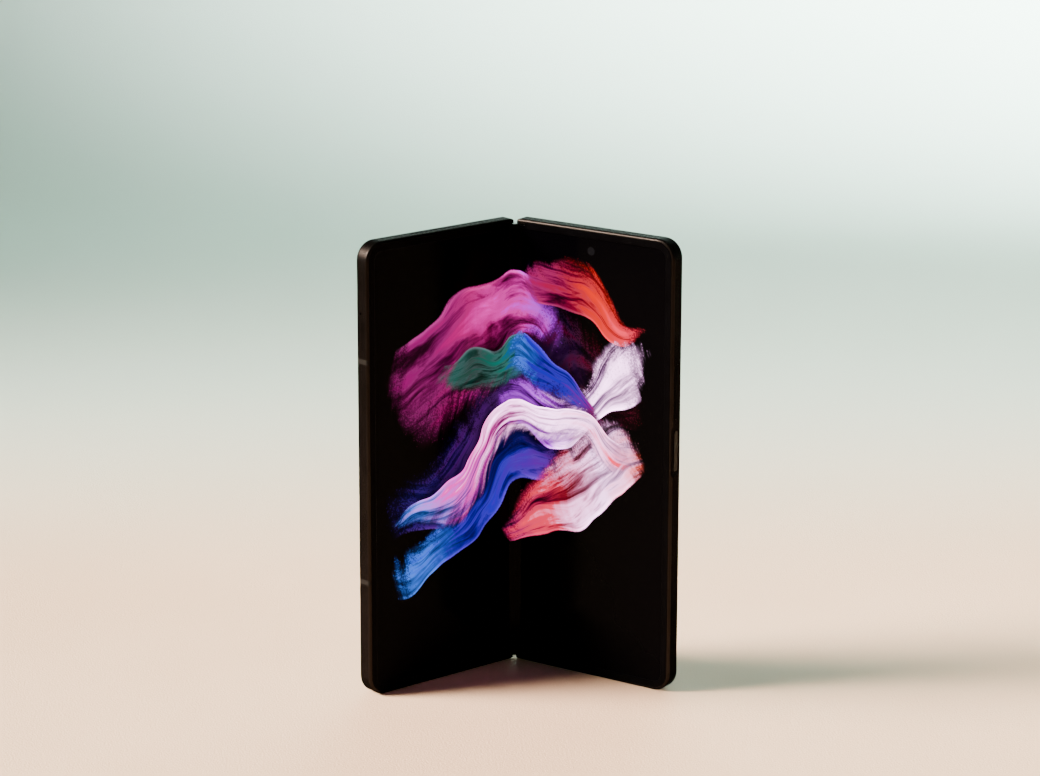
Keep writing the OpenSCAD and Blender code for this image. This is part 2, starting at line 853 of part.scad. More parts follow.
// Keeps what lies behind the screen's plate
module behind_plate() {
    intersection() {
        children();
        translate([-wing_reach, plate_back]) square([2 * wing_reach, 2 * wing_reach]);
    }
}

// A rotator: a foot under the screen, a rail that runs in the bracket, and a toothed arc
module rotator(side, phase) {
    // the foot starts inside the rail, where the rail comes out from under the screen
    foot_from = axis_x + foot_lap * arc_outer_r;
    rise(rail_from, arc_to)
        translate([foot_from, plate_back]) square([wing_reach - foot_from, wing_t]);
    rise(rail_from, rail_to)
        behind_plate() translate([axis_x, lip_t])
            ring_sector(rail_inner_r, arc_outer_r, arc_start, rail_stop);
    rise(rail_to, arc_to)
        behind_plate() translate([axis_x, lip_t]) {
            ring_sector(arc_root_r, arc_outer_r, arc_start, teeth_stop);
            arc_teeth(phase);
        }
}

module rotators(side) {
    phase = mesh_angle + (side > 0 ? ring_step / 2 : 0);
    color(metal_steel) half_section(side)
        difference() {
            for (b = bracket_starts) {
                if (side < 0) translate([0, 0, b]) rotator(side, phase);
                else translate([0, 0, b + bracket_len]) mirror([0, 0, 1]) rotator(side, phase);
            }
            rotate([90, 0, 0]) screw_heads(side, foot_screw_heights(side));
        }
}

// Fibre strip that keeps dust out of the gap beside the spine
module sweeper(side) {
    edge = 1.1;
    color(rubber_black) half_section(side)
        rise(ear_t + gap, body_h - ear_t - gap)
            difference() {
                translate([hinge_wall_start - edge, web_front - edge]) square(edge);
                translate([axis_x, lip_t]) circle(spine_r + 0.08);
            }
}

// Flat cables that cross the hinge inside the spine
flex_from_middle = 9;
flex_heights = [body_h / 2 - flex_from_middle, body_h / 2 + flex_from_middle];
flex_w = 9;
flex_t = 0.16;
flex_low = idler_y + 0.4;
function turned(side, p) = [
    side * axis_x + (side * (p[0] - axis_x)) * cos(rest_fold) + side * (p[1] - lip_t) * sin(rest_fold),
    lip_t - (p[0] - axis_x) * sin(rest_fold) + (p[1] - lip_t) * cos(rest_fold)];
// The cable's route on the right, from its half down into the spine
flex_right = [turned(1, [bay_start + 1, step_back + 0.5]),
    turned(1, [hinge_wall_start + 0.2, step_back + 0.35]),
    turned(1, [hinge_wall_start - 0.5, step_back - 0.2]),
    [axis_x + 3, spine_front + 0.55], [axis_x + 2, spine_front + 1.2],
    [axis_x, flex_low - 0.3], [0, flex_low]];
flex_path = concat(flex_right,
    [for (i = [len(flex_right) - 2 : -1 : 0]) [-flex_right[i][0], flex_right[i][1]]]);

module flex_cable() {
    for (i = [0 : len(flex_path) - 2]) {
        a = flex_path[i];
        b = flex_path[i + 1];
        translate(a) rotate(atan2(b[1] - a[1], b[0] - a[0]))
            translate([0, -flex_t / 2]) square([norm(b - a), flex_t]);
        translate(b) circle(flex_t / 2, $fn = 12);
    }
}

module hinge_flex_cables() {
    color(board_gold) spine_frame()
        for (h = flex_heights) rise(h - flex_w / 2, h + flex_w / 2) flex_cable();
}

// ---------- left half: cover screen side ----------

battery_front = step_back + gap;
battery_start = bay_start + 1.6;
reader_room = 9;
battery_top = tray_mid - tray_len / 2 - reader_room;
cover_screen_back = glass_front - gap / 2;
cover_screen_front = cover_screen_back - cover_panel_t;
tray_depth = mid_depth + 0.2;
tray_plate_t = 0.9;
tray_plate_len = tray_len - 1.6;
reader_wall = 0.25;
board_t = 0.5;
sub_board_front = deck_back + gap;
board_start = wing_reach + 2 + 2 * gap;
cover_camera_u = grille_mid + 2;
cover_camera_r = 2.9;
cover_lens_r = 1.6;
duct_t = 3;
cover_camera_h = bay_top - duct_t - cover_camera_r - 2 * gap;

module battery_left() {
    color(pack_grey) half_plan(-1)
        layer(battery_front, cover_screen_front - gap)
            panel(battery_start, bay_end - 0.5, battery_low, battery_top, 1.2);
}

module sub_board() {
    color(board_green) half_plan(-1)
        layer(sub_board_front, sub_board_front + board_t)
            panel(board_start, bay_end, battery_top + 1, bay_top - speaker_len - gap, 0.8);
}

module card_reader() {
    u0 = half_w - rail_w - tray_reach;
    back = tray_depth + tray_plate_t / 2 + gap + reader_wall;
    color(metal_steel) half_plan(-1)
        difference() {
            layer(sub_board_front + board_t, back)
                panel(u0 - 1, bay_end, tray_mid - tray_plate_len / 2 - 1,
                    tray_mid + tray_plate_len / 2 + 1, 0.4);
            outwards(u0 - gap, bay_end + 1, tray_mid, tray_depth)
                square([tray_plate_len + 2 * gap, tray_plate_t + 2 * gap], center = true);
        }
}

module card_tray() {
    u0 = half_w - rail_w - tray_reach + gap;
    face_t = 1.2;
    pinhole_from_mid = 4.75;
    pinhole_r = 0.45;
    card = [8.8, 12.3, 0.67];
    color(metal_black) half_plan(-1)
        difference() {
            union() {
                outwards(half_w - face_t, half_w, tray_mid, tray_depth) pill(tray_len, tray_w);
                outwards(u0, half_w - face_t, tray_mid, tray_depth)
                    square([tray_plate_len, tray_plate_t], center = true);
            }
            translate([u0 + 2, tray_mid - card[1] / 2, -tray_depth - card[2] / 2])
                cube([card[0], card[1], 2]);
            outwards(half_w - face_t - 1, half_w + 1, tray_mid + pinhole_from_mid, tray_depth)
                circle(pinhole_r);
        }
}

module speaker_box() {
    u_left = grille_mid - grille_count * grille_pitch / 2;
    u_right = grille_mid + grille_count * grille_pitch / 2;
    layer(sub_board_front, cover_screen_front - gap) {
        panel(board_start, cover_camera_u - cover_camera_r - 2 * gap, bay_top - speaker_len,
            bay_top - duct_t + 1, 0.6);
        panel(u_left - gap, u_right + gap, bay_top - duct_t, bay_top, 0.6);
    }
}

module speakers() {
    color(plastic_black) half_plan(-1) {
        speaker_box();
        translate([0, body_h, 0]) mirror([0, 1, 0]) speaker_box();
    }
}

module cover_camera() {
    color(glass_black) half_plan(-1) translate([cover_camera_u, cover_camera_h, 0]) {
        layer(sub_board_front, cover_screen_front - gap) circle(cover_camera_r);
        layer(cover_screen_front - 2 * gap, cover_screen_back) circle(cover_lens_r);
    }
}

module cover_screen() {
    color(screen_black) half_plan(-1)
        difference() {
            layer(cover_screen_front, cover_screen_back)
                panel(bay_start + gap, bay_end - gap, bay_bottom + 0.5, bay_top - 0.5, 3.5);
            layer(cover_screen_front - 1, cover_screen_back + 1)
                translate([cover_camera_u, cover_camera_h]) circle(cover_lens_r + gap);
        }
}

// The outline of a back glass
module glass_outline() {
    half_outline(glass_inset, glass_start);
}

module cover_glass() {
    color(glass_black) half_plan(-1) layer(glass_front, body_t) glass_outline();
}

haptic_u = bay_end - haptic_w / 2 - 2;
haptic_h = bay_bottom + duct_t + haptic_len / 2 + gap;
haptic_t = 2.6;
haptic_wall = 0.3;
haptic_side = 0.4;
module haptic_case() {
    color(metal_steel) half_plan(-1)
        difference() {
            layer(sub_board_front, sub_board_front + haptic_t)
                panel(haptic_u - haptic_w / 2, haptic_u + haptic_w / 2, haptic_h - haptic_len / 2,
                    haptic_h + haptic_len / 2, 0.8);
            layer(sub_board_front + haptic_wall, sub_board_front + haptic_t - haptic_wall)
                square_at(haptic_u, haptic_h, haptic_w - 2 * haptic_side, haptic_len - 2 * haptic_side);
        }
}

module square_at(x, y, w, h) {
    translate([x, y]) square([w, h], center = true);
}

haptic_travel = 0.4;
module haptic_mass() {
    color(metal_copper) half_plan(-1)
        layer(sub_board_front + haptic_wall + gap, sub_board_front + haptic_t - haptic_wall - gap)
            square_at(haptic_u, haptic_h, haptic_w - 2 * haptic_side - 2 * gap,
                haptic_len - 2 * haptic_side - 2 * haptic_travel - 2 * gap);
}

// ---------- right half: camera side ----------

selfie_u = 30.75;
selfie_h = body_h - 7.55;
selfie_r = 1.5;
island_u = half_w - island_inset - island_w / 2;
island_top = body_h - island_inset;
island_mid = island_top - island_len / 2;
camera_top = island_top - island_w / 2 - 0.4;
camera_heights = [for (i = [0 : 2]) camera_top - i * camera_pitch];
flash_h = camera_heights[2] - camera_pitch / 2 - 3.4;
board_end = island_u - module_w / 2 - 2 * gap;
board_low = bay_top - board_len;

// Room for the flat connector between the charging board and the battery
board_joint = 2;
// The board is wide below the cameras and their flash
flash_room = 3;
shield_len = board_len * 0.36;
module battery_right() {
    color(pack_grey) half_plan(1)
        layer(battery_front, glass_front - 0.5)
            panel(battery_start, bay_end - 0.5 - key_flex_t, battery_low + board_joint, board_low - 1, 1.2);
}

module main_board() {
    color(board_green) half_plan(1)
        difference() {
            layer(sub_board_front, sub_board_front + board_t) {
                panel(board_start, board_end, board_low, bay_top, 0.8);
                panel(board_start, bay_end - key_flex_t - gap, board_low, flash_h - flash_room, 0.8);
            }
            layer(0, body_t) translate([selfie_u, selfie_h]) circle(selfie_body_r + gap);
        }
}

shield_gap = 0.6;
module board_shields() {
    u0 = wing_reach + 3;
    front = sub_board_front + board_t;
    color(metal_steel) half_plan(1)
        layer(front, front + 1.5) {
            panel(u0, board_end - 1, board_low + 1, board_low + shield_len, 1);
            panel(u0, board_end - 1, board_low + shield_len + shield_gap,
                selfie_h - selfie_body_r - 1, 1);
        }
}

selfie_body_r = 3;
module under_screen_camera() {
    color(glass_black) half_plan(1) translate([selfie_u, selfie_h, 0]) {
        layer(panel_back, deck_back + gap) circle(selfie_r);
        layer(deck_back + gap, glass_front - 0.6) circle(selfie_body_r);
    }
}

module camera_body(i, lens_r) {
    difference() {
        union() {
            layer(sub_board_front, glass_front - 0.5)
                translate([island_u, camera_heights[i]]) square(module_w, center = true);
            layer(glass_front - 0.6, body_t + island_t - 0.7)
                translate([island_u, camera_heights[i]]) circle(lens_r);
        }
        if (i == 1)
            layer(glass_front - barrel_len, body_t + 2)
                translate([island_u, camera_heights[i]]) circle(focus_r + gap);
    }
}

focus_r = 2.9;
barrel_len = 2.5;
module camera_ultrawide() {
    color(glass_black) half_plan(1) camera_body(0, window_r - 1.4);
}

module camera_main() {
    color(glass_black) half_plan(1) camera_body(1, window_r - 1);
}

module camera_tele() {
    color(glass_black) half_plan(1) camera_body(2, window_r - 1.7);
}

focus_travel = 0.25;
module focus_barrel() {
    color(plastic_black) half_plan(1)
        difference() {
            layer(glass_front - barrel_len + gap, body_t + island_t - 0.7 - focus_travel)
                translate([island_u, camera_heights[1]]) circle(focus_r);
            layer(body_t, body_t + island_t) translate([island_u, camera_heights[1]]) circle(focus_r - 0.7);
        }
}

window_t = 0.6;
flash_r = 1.8;

// A stepped hole that a window drops into
module window_cut(r) {
    layer(0, body_t + island_t - window_t) circle(r - 0.5);
    layer(body_t + island_t - window_t, body_t + island_t + 1) circle(r + gap / 2);
}

// The island is a tray that drops into the rear glass, open towards the cameras
module camera_island() {
    color(metal_black) half_plan(1) translate([island_u, island_mid, 0])
        difference() {
            layer(glass_front + gap, body_t + island_t) rotate(90) pill(island_len, island_w);
            for (h = camera_heights) translate([0, h - island_mid]) window_cut(window_r);
            translate([0, flash_h - island_mid]) window_cut(flash_r);
        }
}

module camera_windows() {
    back = body_t + island_t;
    color(glass_black) half_plan(1) {
        for (h = camera_heights)
            layer(back - window_t, back - 0.05) translate([island_u, h]) circle(window_r);
        layer(back - window_t, back - 0.05) translate([island_u, flash_h]) circle(flash_r);
        layer(glass_front - gap, back - window_t) translate([island_u, flash_h]) circle(flash_r - 0.6);
    }
}

module rear_glass() {
    color(glass_black) half_plan(1)
        difference() {
            layer(glass_front, body_t) glass_outline();
            layer(glass_front - 1, body_t + 1)
                translate([island_u, island_mid]) rotate(90) pill(island_len + gap, island_w + gap);
        }
}

coil_u = (battery_start + bay_end) / 2;
coil_h = (battery_low + board_low) / 2;
coil_t = 0.2;
module charging_coil() {
    turns = 6;
    color(metal_copper) half_plan(1) translate([coil_u, coil_h, gap / 2 - glass_front])
        rotate_extrude()
            polygon(concat([[coil_r / 2, 0], [coil_r + 2, 0], [coil_r + 2, coil_t]],
                [for (i = [0 : 2 * turns - 1])
                    [coil_r - i * (coil_r / 2 - 1) / (2 * turns), i % 2 == 0 ? coil_t : 1.5 * coil_t]],
                [[coil_r / 2, coil_t]]));
}

module charging_board() {
    color(board_green) half_plan(1)
        difference() {
            layer(sub_board_front, sub_board_front + board_t)
                panel(board_start, usb_mid + 1.8 * usb_w, bay_bottom, battery_low, 0.8);
            translate([usb_mid - usb_w / 2 - gap, 0, -body_t])
                cube([usb_w + 2 * gap, socket_len + gap, body_t]);
        }
}

socket_len = 9;
module charging_socket() {
    wall = 0.25;
    mouth = 0.3;
    tongue_w = 6.7;
    tongue_t = 0.7;
    color(metal_steel) half_plan(1) {
        difference() {
            upwards(mouth, socket_len, usb_mid, usb_depth) pill(usb_w - gap, usb_t - gap);
            upwards(-1, socket_len - 1, usb_mid, usb_depth)
                pill(usb_w - gap - 2 * wall, usb_t - gap - 2 * wall);
        }
        upwards(1.2, socket_len - 0.5, usb_mid, usb_depth) square([tongue_w, tongue_t], center = true);
    }
}

key_flex_t = 0.3;
key_flex_w = 2.4;
module key_flex() {
    color(board_gold) half_plan(1) {
        outwards(bay_end - key_flex_t, bay_end, (volume_mid + power_mid) / 2, key_depth)
            square([volume_mid - power_mid + (volume_len + power_len) / 2, key_flex_w], center = true);
    }
}

// ---------- keys ----------

module volume_key() {
    color(metal_black) half_plan(1)
        outwards(half_w - rail_w + 0.35, half_w + key_proud, volume_mid, key_depth) pill(volume_len, key_w);
}

module power_key() {
    color(metal_black) half_plan(1)
        outwards(half_w - rail_w + 0.35, half_w - recess_t + key_proud, power_mid, key_depth)
            pill(power_len, key_w);
}

spine_cover();
spine_end_caps();
fold_end_caps();
hinge_bracket(bracket_starts[0]);  // hinge_bracket_bottom
hinge_bracket(bracket_starts[1]);  // hinge_bracket_top
gear_pins();
friction_springs();
bracket_screws();
screen_fold();
fold_lattice();
hinge_flex_cables();
pinion_left();
idler(-1, idler_flat_left - gear_turn);  // idler_left
idler(1, idler_flat + gear_turn);  // idler_right
pinion_right();
frame_left();
bezel(-1);  // bezel_left
screen_half(-1);  // screen_left
support_plate(-1);  // support_plate_left
wing_plate(-1);  // wing_plate_left
rotators(-1);  // rotators_left
wing_screws(-1);  // wing_screws_left
sweeper(-1);  // sweeper_left
battery_left();
sub_board();
card_reader();
speakers();
cover_camera();
cover_screen();
cover_glass();
antenna_bands(-1, bands_left);  // antenna_bands_left
haptic_case();
card_tray();
haptic_mass();
frame_right();
bezel(1);  // bezel_right
screen_half(1);  // screen_right
support_plate(1);  // support_plate_right
wing_plate(1);  // wing_plate_right
rotators(1);  // rotators_right
wing_screws(1);  // wing_screws_right
sweeper(1);  // sweeper_right
battery_right();
main_board();
board_shields();
camera_ultrawide();
camera_main();
camera_tele();
camera_island();
camera_windows();
under_screen_camera();
rear_glass();
charging_coil();
charging_board();
charging_socket();
antenna_bands(1, bands_right);  // antenna_bands_right
key_flex();
volume_key();
power_key();
focus_barrel();
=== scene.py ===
# Foldable smartphone, half open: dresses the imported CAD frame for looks
import functools
import json
import math
import bmesh
import bpy
from mathutils import Matrix, Vector


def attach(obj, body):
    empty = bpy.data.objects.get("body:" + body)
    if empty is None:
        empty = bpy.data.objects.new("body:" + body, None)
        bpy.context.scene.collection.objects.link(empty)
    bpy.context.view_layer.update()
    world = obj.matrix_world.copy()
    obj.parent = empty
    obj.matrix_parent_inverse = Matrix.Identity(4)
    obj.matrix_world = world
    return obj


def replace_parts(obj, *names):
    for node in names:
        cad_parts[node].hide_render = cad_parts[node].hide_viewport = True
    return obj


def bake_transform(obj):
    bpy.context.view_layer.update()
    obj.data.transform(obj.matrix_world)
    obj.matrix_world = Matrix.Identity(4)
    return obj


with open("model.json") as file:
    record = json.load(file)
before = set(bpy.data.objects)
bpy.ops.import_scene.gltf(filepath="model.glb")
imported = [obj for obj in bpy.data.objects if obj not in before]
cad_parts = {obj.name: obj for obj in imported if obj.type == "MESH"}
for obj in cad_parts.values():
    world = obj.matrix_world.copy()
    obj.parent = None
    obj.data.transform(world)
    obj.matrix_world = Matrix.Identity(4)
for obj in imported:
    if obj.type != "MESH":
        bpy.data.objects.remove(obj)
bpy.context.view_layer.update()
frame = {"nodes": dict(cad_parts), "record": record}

mm = 0.001

# sizes shared with the CAD model, in millimetres
phone = {
    "height": 158.2, "halfWidth": 64.05, "cornerRadius": 6.5, "axisX": 1.95, "lip": 0.35,
    "restFold": 37.7, "flexHalf": 3.2, "panelInset": 2.3, "foldY": 15.470105,
}
foldAngle = math.radians(phone["restFold"])

# angles in degrees, lengths in millimetres, the focal length in pixels of the frame's width
view = {
    "azimuth": -2.674, "elevation": 14.687, "roll": 0.128, "distance": 1220.7, "focal": 3537.7,
    "target": (1.680, 98.731), "frameWidth": 1040, "sensor": 36.0, "clip": (0.05, 20.0),
}


def addToScene(name, data):
    obj = bpy.data.objects.new(name, data)
    bpy.context.scene.collection.objects.link(obj)
    return obj


def makeCamera():
    az, el, roll = (math.radians(view[k]) for k in ("azimuth", "elevation", "roll"))
    back = Vector((math.sin(az) * math.cos(el), -math.cos(az) * math.cos(el), math.sin(el)))
    right = Vector((0, 0, 1)).cross(back).normalized()
    up = back.cross(right)
    camRight = right * math.cos(roll) + up * math.sin(roll)
    camUp = up * math.cos(roll) - right * math.sin(roll)
    target = Vector((view["target"][0], phone["foldY"], view["target"][1]))
    place = (target + back * view["distance"]) * mm
    data = bpy.data.cameras.new("viewCamera")
    data.sensor_width = view["sensor"]
    data.lens = view["focal"] * view["sensor"] / view["frameWidth"]
    data.clip_start, data.clip_end = view["clip"]
    cam = addToScene("viewCamera", data)
    turn = Matrix((camRight, camUp, back)).transposed().to_4x4()
    cam.matrix_world = Matrix.Translation(place) @ turn
    bpy.context.scene.camera = cam


makeCamera()
print("stage: camera")


class Tree:
    # a small wrapper that keeps node building short
    def __init__(self, tree):
        self.tree = tree

    def node(self, kind, inputs=None, **settings):
        n = self.tree.nodes.new(kind)
        for key, value in settings.items():
            setattr(n, key, value)
        self.feed(n, inputs or {})
        return n

    # gives each named input its value, or a link
    def feed(self, node, inputs):
        for key, value in inputs.items():
            self.put(node.inputs[key], value)

    def out(self, kind, inputs=None, **settings):
        return self.node(kind, inputs, **settings).outputs[0]

    def put(self, socket, value):
        if isinstance(value, bpy.types.NodeSocket):
            self.tree.links.new(value, socket)
        elif isinstance(value, list):
            for v in value:
                self.tree.links.new(v, socket)
        elif isinstance(value, tuple) and len(value) == 3 and socket.type == "RGBA":
            socket.default_value = (*value, 1)
        else:
            socket.default_value = value

    def math(self, operation, *values, clamp=False):
        return self.out("ShaderNodeMath", dict(enumerate(values)), operation=operation, use_clamp=clamp)

    def add(self, *values):
        return functools.reduce(functools.partial(self.math, "ADD"), values)

    def mul(self, *values):
        return functools.reduce(functools.partial(self.math, "MULTIPLY"), values)

    def minus(self, a, b):
        return self.math("SUBTRACT", a, b)

    # how far a noise lies from its middle, at a given weight
    def swing(self, value, weight):
        return self.mul(self.minus(value, 0.5), weight)

    def ramp(self, value, low, high, start=0.0, end=1.0, smooth=True):
        return self.out("ShaderNodeMapRange", {
            "Value": value, "From Min": low, "From Max": high, "To Min": start, "To Max": end},
            interpolation_type="SMOOTHSTEP" if smooth else "LINEAR")

    def mix(self, factor, a, b):
        return self.node("ShaderNodeMix", {0: factor, 6: a, 7: b}, data_type="RGBA").outputs[2]

    def colours(self, value, stops):
        n = self.node("ShaderNodeValToRGB", {"Fac": value})
        e = n.color_ramp.elements
        while len(e) < len(stops):
            e.new(0.5)
        for item, (place, colour) in zip(e, stops):
            item.position = place
            item.color = (*colour, 1)
        return n.outputs["Color"]

    def noise(self, vector, scale, detail=3.0, rough=0.55, **inputs):
        return self.out("ShaderNodeTexNoise", {
            "Vector": vector, "Scale": scale, "Detail": detail, "Roughness": rough, **inputs})

    def combined(self, x=0.0, y=0.0, z=0.0):
        return self.out("ShaderNodeCombineXYZ", {"X": x, "Y": y, "Z": z})

    def separated(self, vector):
        return self.node("ShaderNodeSeparateXYZ", {0: vector}).outputs

    def reach(self, a, b):
        return self.math("SQRT", self.add(self.mul(a, a), self.mul(b, b)))

    def bump(self, shader, strength, distance, height):
        self.feed(shader, {"Normal": self.out("ShaderNodeBump", {
            "Strength": strength, "Distance": distance, "Height": height})})


def newMaterial(name):
    mat = bpy.data.materials.new(name)
    mat.use_nodes = True
    t = Tree(mat.node_tree)
    mat.node_tree.nodes.clear()
    out = t.node("ShaderNodeOutputMaterial")
    shader = t.node("ShaderNodeBsdfPrincipled")
    mat.node_tree.links.new(shader.outputs[0], out.inputs[0])
    return mat, t, shader, t.node("ShaderNodeTexCoord").outputs["Object"]


# A hard finish: a base colour with two tones, a roughness that varies, and a fine grain
def finish(name, base, second=None, metallic=0.0, rough=(0.3, 0.4), tone=220.0, grain=9000.0,
           depth=0.02, stretch=(1, 1, 1), specular=0.5, coat=0.0, coatRough=0.1, sheen=0.0,
           anisotropic=0.0, edge=1.0, transmission=0.0, ior=1.5):
    mat, t, shader, place = newMaterial(name)
    spot = t.out("ShaderNodeMapping", {"Vector": place, "Scale": stretch})
    wide = t.noise(spot, tone, 4.0)
    fine = t.noise(spot, grain, 2.0)
    low, high = 0.3, 0.7        # where most of a noise's values lie
    both = t.add(t.mul(wide, 0.7), t.mul(fine, 0.3))
    t.feed(shader, {
        "Base Color": t.mix(t.ramp(wide, low, high), base, second or base),
        "Roughness": t.ramp(both, low, high, *rough), "Metallic": metallic, "IOR": ior,
        "Specular IOR Level": specular, "Specular Tint": (edge, edge, edge), "Coat Weight": coat,
        "Coat Roughness": coatRough, "Sheen Weight": sheen, "Anisotropic": anisotropic,
        "Transmission Weight": transmission})
    t.bump(shader, depth, 0.0002, fine)
    return mat


finishes = {
    "spine_metal": dict(base=(0.008, 0.0065, 0.006), second=(0.011, 0.009, 0.0085), metallic=0.85,
        rough=(0.28, 0.36), stretch=(1, 1, 0.03), grain=14000, depth=0.06, anisotropic=0.4),
    "spine_plastic": dict(base=(0.012, 0.012, 0.013), rough=(0.45, 0.6), depth=0.15),
    "bezel_plastic": dict(base=(0.0005, 0.0004, 0.0006), second=(0.0008, 0.0007, 0.0010),
        rough=(0.3, 0.4), depth=0.08, grain=7000, specular=0.014),
    "hinge_steel": dict(base=(0.42, 0.43, 0.44), second=(0.5, 0.5, 0.5), metallic=1, rough=(0.18, 0.34),
        stretch=(1, 1, 0.2)),
    "screw_steel": dict(base=(0.24, 0.24, 0.26), metallic=1, rough=(0.25, 0.35)),
    "plate_steel": dict(base=(0.52, 0.52, 0.53), second=(0.45, 0.45, 0.47), metallic=1,
        rough=(0.25, 0.4), stretch=(1, 1, 0.05), depth=0.08),
    "flex_film": dict(base=(0.5, 0.24, 0.03), second=(0.42, 0.17, 0.02), rough=(0.3, 0.4), coat=0.3),
    "gear_steel": dict(base=(0.45, 0.45, 0.46), metallic=1, rough=(0.2, 0.32)),
    "frame_metal": dict(base=(0.0104, 0.0085, 0.0078), second=(0.0130, 0.0106, 0.0097), metallic=0.95,
        rough=(0.28, 0.36), grain=16000, depth=0.1, tone=90, specular=0.2, edge=0.08),
    "sweeper_rubber": dict(base=(0.010, 0.010, 0.011), second=(0.02, 0.02, 0.021), rough=(0.8, 0.95),
        stretch=(1, 1, 3), sheen=0.4, depth=0.6, grain=5000),
    "battery_foil": dict(base=(0.1, 0.105, 0.115), second=(0.13, 0.135, 0.145), metallic=0.3,
        rough=(0.35, 0.5), tone=60, depth=0.3, grain=1500),
    "speaker_plastic": dict(base=(0.02, 0.02, 0.022), rough=(0.4, 0.5), depth=0.15),
    "camera_black": dict(base=(0.006, 0.006, 0.007), second=(0.010, 0.010, 0.011), rough=(0.35, 0.5),
        specular=0.3),
    "cover_panel": dict(base=(0.003, 0.003, 0.004), rough=(0.06, 0.1), coat=0.6),
    "back_glass": dict(base=(0.0045, 0.0045, 0.005), second=(0.006, 0.006, 0.0068), rough=(0.32, 0.4),
        specular=0.16, coat=0.04, coatRough=0.25, tone=40, grain=20000, depth=0.05),
    "antenna_plastic": dict(base=(0.0048, 0.0042, 0.0040), second=(0.0062, 0.0054, 0.0051),
        rough=(0.4, 0.5), specular=0.06),
    "weight_metal": dict(base=(0.5, 0.38, 0.22), metallic=1, rough=(0.3, 0.4)),
    "shield_metal": dict(base=(0.55, 0.56, 0.57), metallic=1, rough=(0.28, 0.42), tone=60),
    "island_metal": dict(base=(0.010, 0.0095, 0.0095), second=(0.013, 0.012, 0.012), metallic=0.95,
        rough=(0.24, 0.32), grain=16000, specular=0.2, edge=0.5),
    "window_glass": dict(base=(0.002, 0.002, 0.003), rough=(0.03, 0.06), specular=0.2),
    "coil_copper": dict(base=(0.6, 0.26, 0.12), second=(0.5, 0.2, 0.09), metallic=1, rough=(0.25, 0.4)),
    "socket_steel": dict(base=(0.35, 0.35, 0.36), metallic=1, rough=(0.25, 0.35)),
    "key_metal": dict(base=(0.0100, 0.0084, 0.0078), second=(0.0124, 0.0104, 0.0097), metallic=0.95,
        rough=(0.28, 0.36), grain=16000, specular=0.2, edge=0.1),
    "sensor_key": dict(base=(0.0055, 0.0052, 0.0052), second=(0.0075, 0.0070, 0.0070), metallic=0.85,
        rough=(0.2, 0.28), specular=0.3, coat=0.12, edge=0.15),
    "lens_plastic": dict(base=(0.012, 0.012, 0.013), rough=(0.3, 0.4)),
    "inner_screen": dict(base=(0.0015, 0.0015, 0.002), rough=(0.05, 0.08), coat=0.5),
    "window_clear": dict(base=(0.80, 0.82, 0.86), rough=(0.0, 0.01), transmission=1.0, ior=1.1,
        depth=0.0, specular=0.12),
    "flash_lens": dict(base=(0.95, 0.9, 0.75), rough=(0.25, 0.35), transmission=0.8, depth=0.4,
        grain=2500),
    "led_yellow": dict(base=(0.75, 0.55, 0.08), rough=(0.4, 0.5)),
    "ferrite_grey": dict(base=(0.05, 0.05, 0.055), rough=(0.4, 0.5)),
    "chip_black": dict(base=(0.018, 0.018, 0.02), second=(0.1, 0.085, 0.07), rough=(0.35, 0.5),
        tone=700),
    "mesh_steel": dict(base=(0.05, 0.05, 0.052), metallic=1, rough=(0.3, 0.4)),
    "contact_gold": dict(base=(0.8, 0.55, 0.2), metallic=1, rough=(0.2, 0.3)),
    "lens_coat": dict(base=(0.002, 0.0025, 0.007), second=(0.005, 0.002, 0.009), rough=(0.02, 0.04),
        specular=0.25, tone=500),
}


# Green solder mask with traces under it and gold pads
solderMask = {"traceScale": 900.0, "padScale": 700.0, "padAt": (0.16, 0.12), "traceAt": (0.03, 0.06),
              "greens": ((0.02, 0.09, 0.045), (0.008, 0.05, 0.025)), "gold": (0.6, 0.42, 0.12)}


def boardMaterial():
    mat, t, shader, place = newMaterial("solderMask")
    s = solderMask
    cells = t.out("ShaderNodeTexVoronoi", {"Vector": place, "Scale": s["traceScale"]},
                  feature="DISTANCE_TO_EDGE")
    dots = t.out("ShaderNodeTexVoronoi", {"Vector": place, "Scale": s["padScale"]})
    trace, pad = t.ramp(cells, *s["traceAt"]), t.ramp(dots, *s["padAt"])
    t.feed(shader, {"Base Color": t.mix(pad, t.mix(trace, *s["greens"]), s["gold"]), "Metallic": pad,
                    "Roughness": t.ramp(t.noise(place, 400.0), 0.3, 0.7, 0.28, 0.42)})
    t.bump(shader, 0.3, 0.0001, trace)
    return mat


materials = {name: finish(name, **f) for name, f in finishes.items()}
materials["board"] = boardMaterial()
for sub in frame["record"]["subparts"]:
    slots = frame["nodes"][sub["node"]].data.materials
    slots.clear()
    slots.append(materials[sub["material_slot"]])
print("stage: materials")


def shadeSmooth(mesh, degrees=35):
    mesh.polygons.foreach_set("use_smooth", [True] * len(mesh.polygons))
    mesh.set_sharp_from_angle(angle=math.radians(degrees))


def newMesh(name, verts, faces=()):
    mesh = bpy.data.meshes.new(name)
    mesh.from_pydata([tuple(c * mm for c in v) for v in verts], [], faces)
    return mesh


def addObject(name, verts, faces, material, smooth=False, uv=None):
    mesh = newMesh(name, verts, faces)
    mesh.validate()
    if uv:
        layer = mesh.uv_layers.new(name="flat")
        for loop in mesh.loops:
            layer.data[loop.index].uv = uv[loop.vertex_index]
    if smooth:
        shadeSmooth(mesh)
    mesh.materials.append(material)
    mesh.update()
    return addToScene(name, mesh)


def smoothStep(t):
    t = min(1.0, max(0.0, t))
    return t * t * (3 - 2 * t)


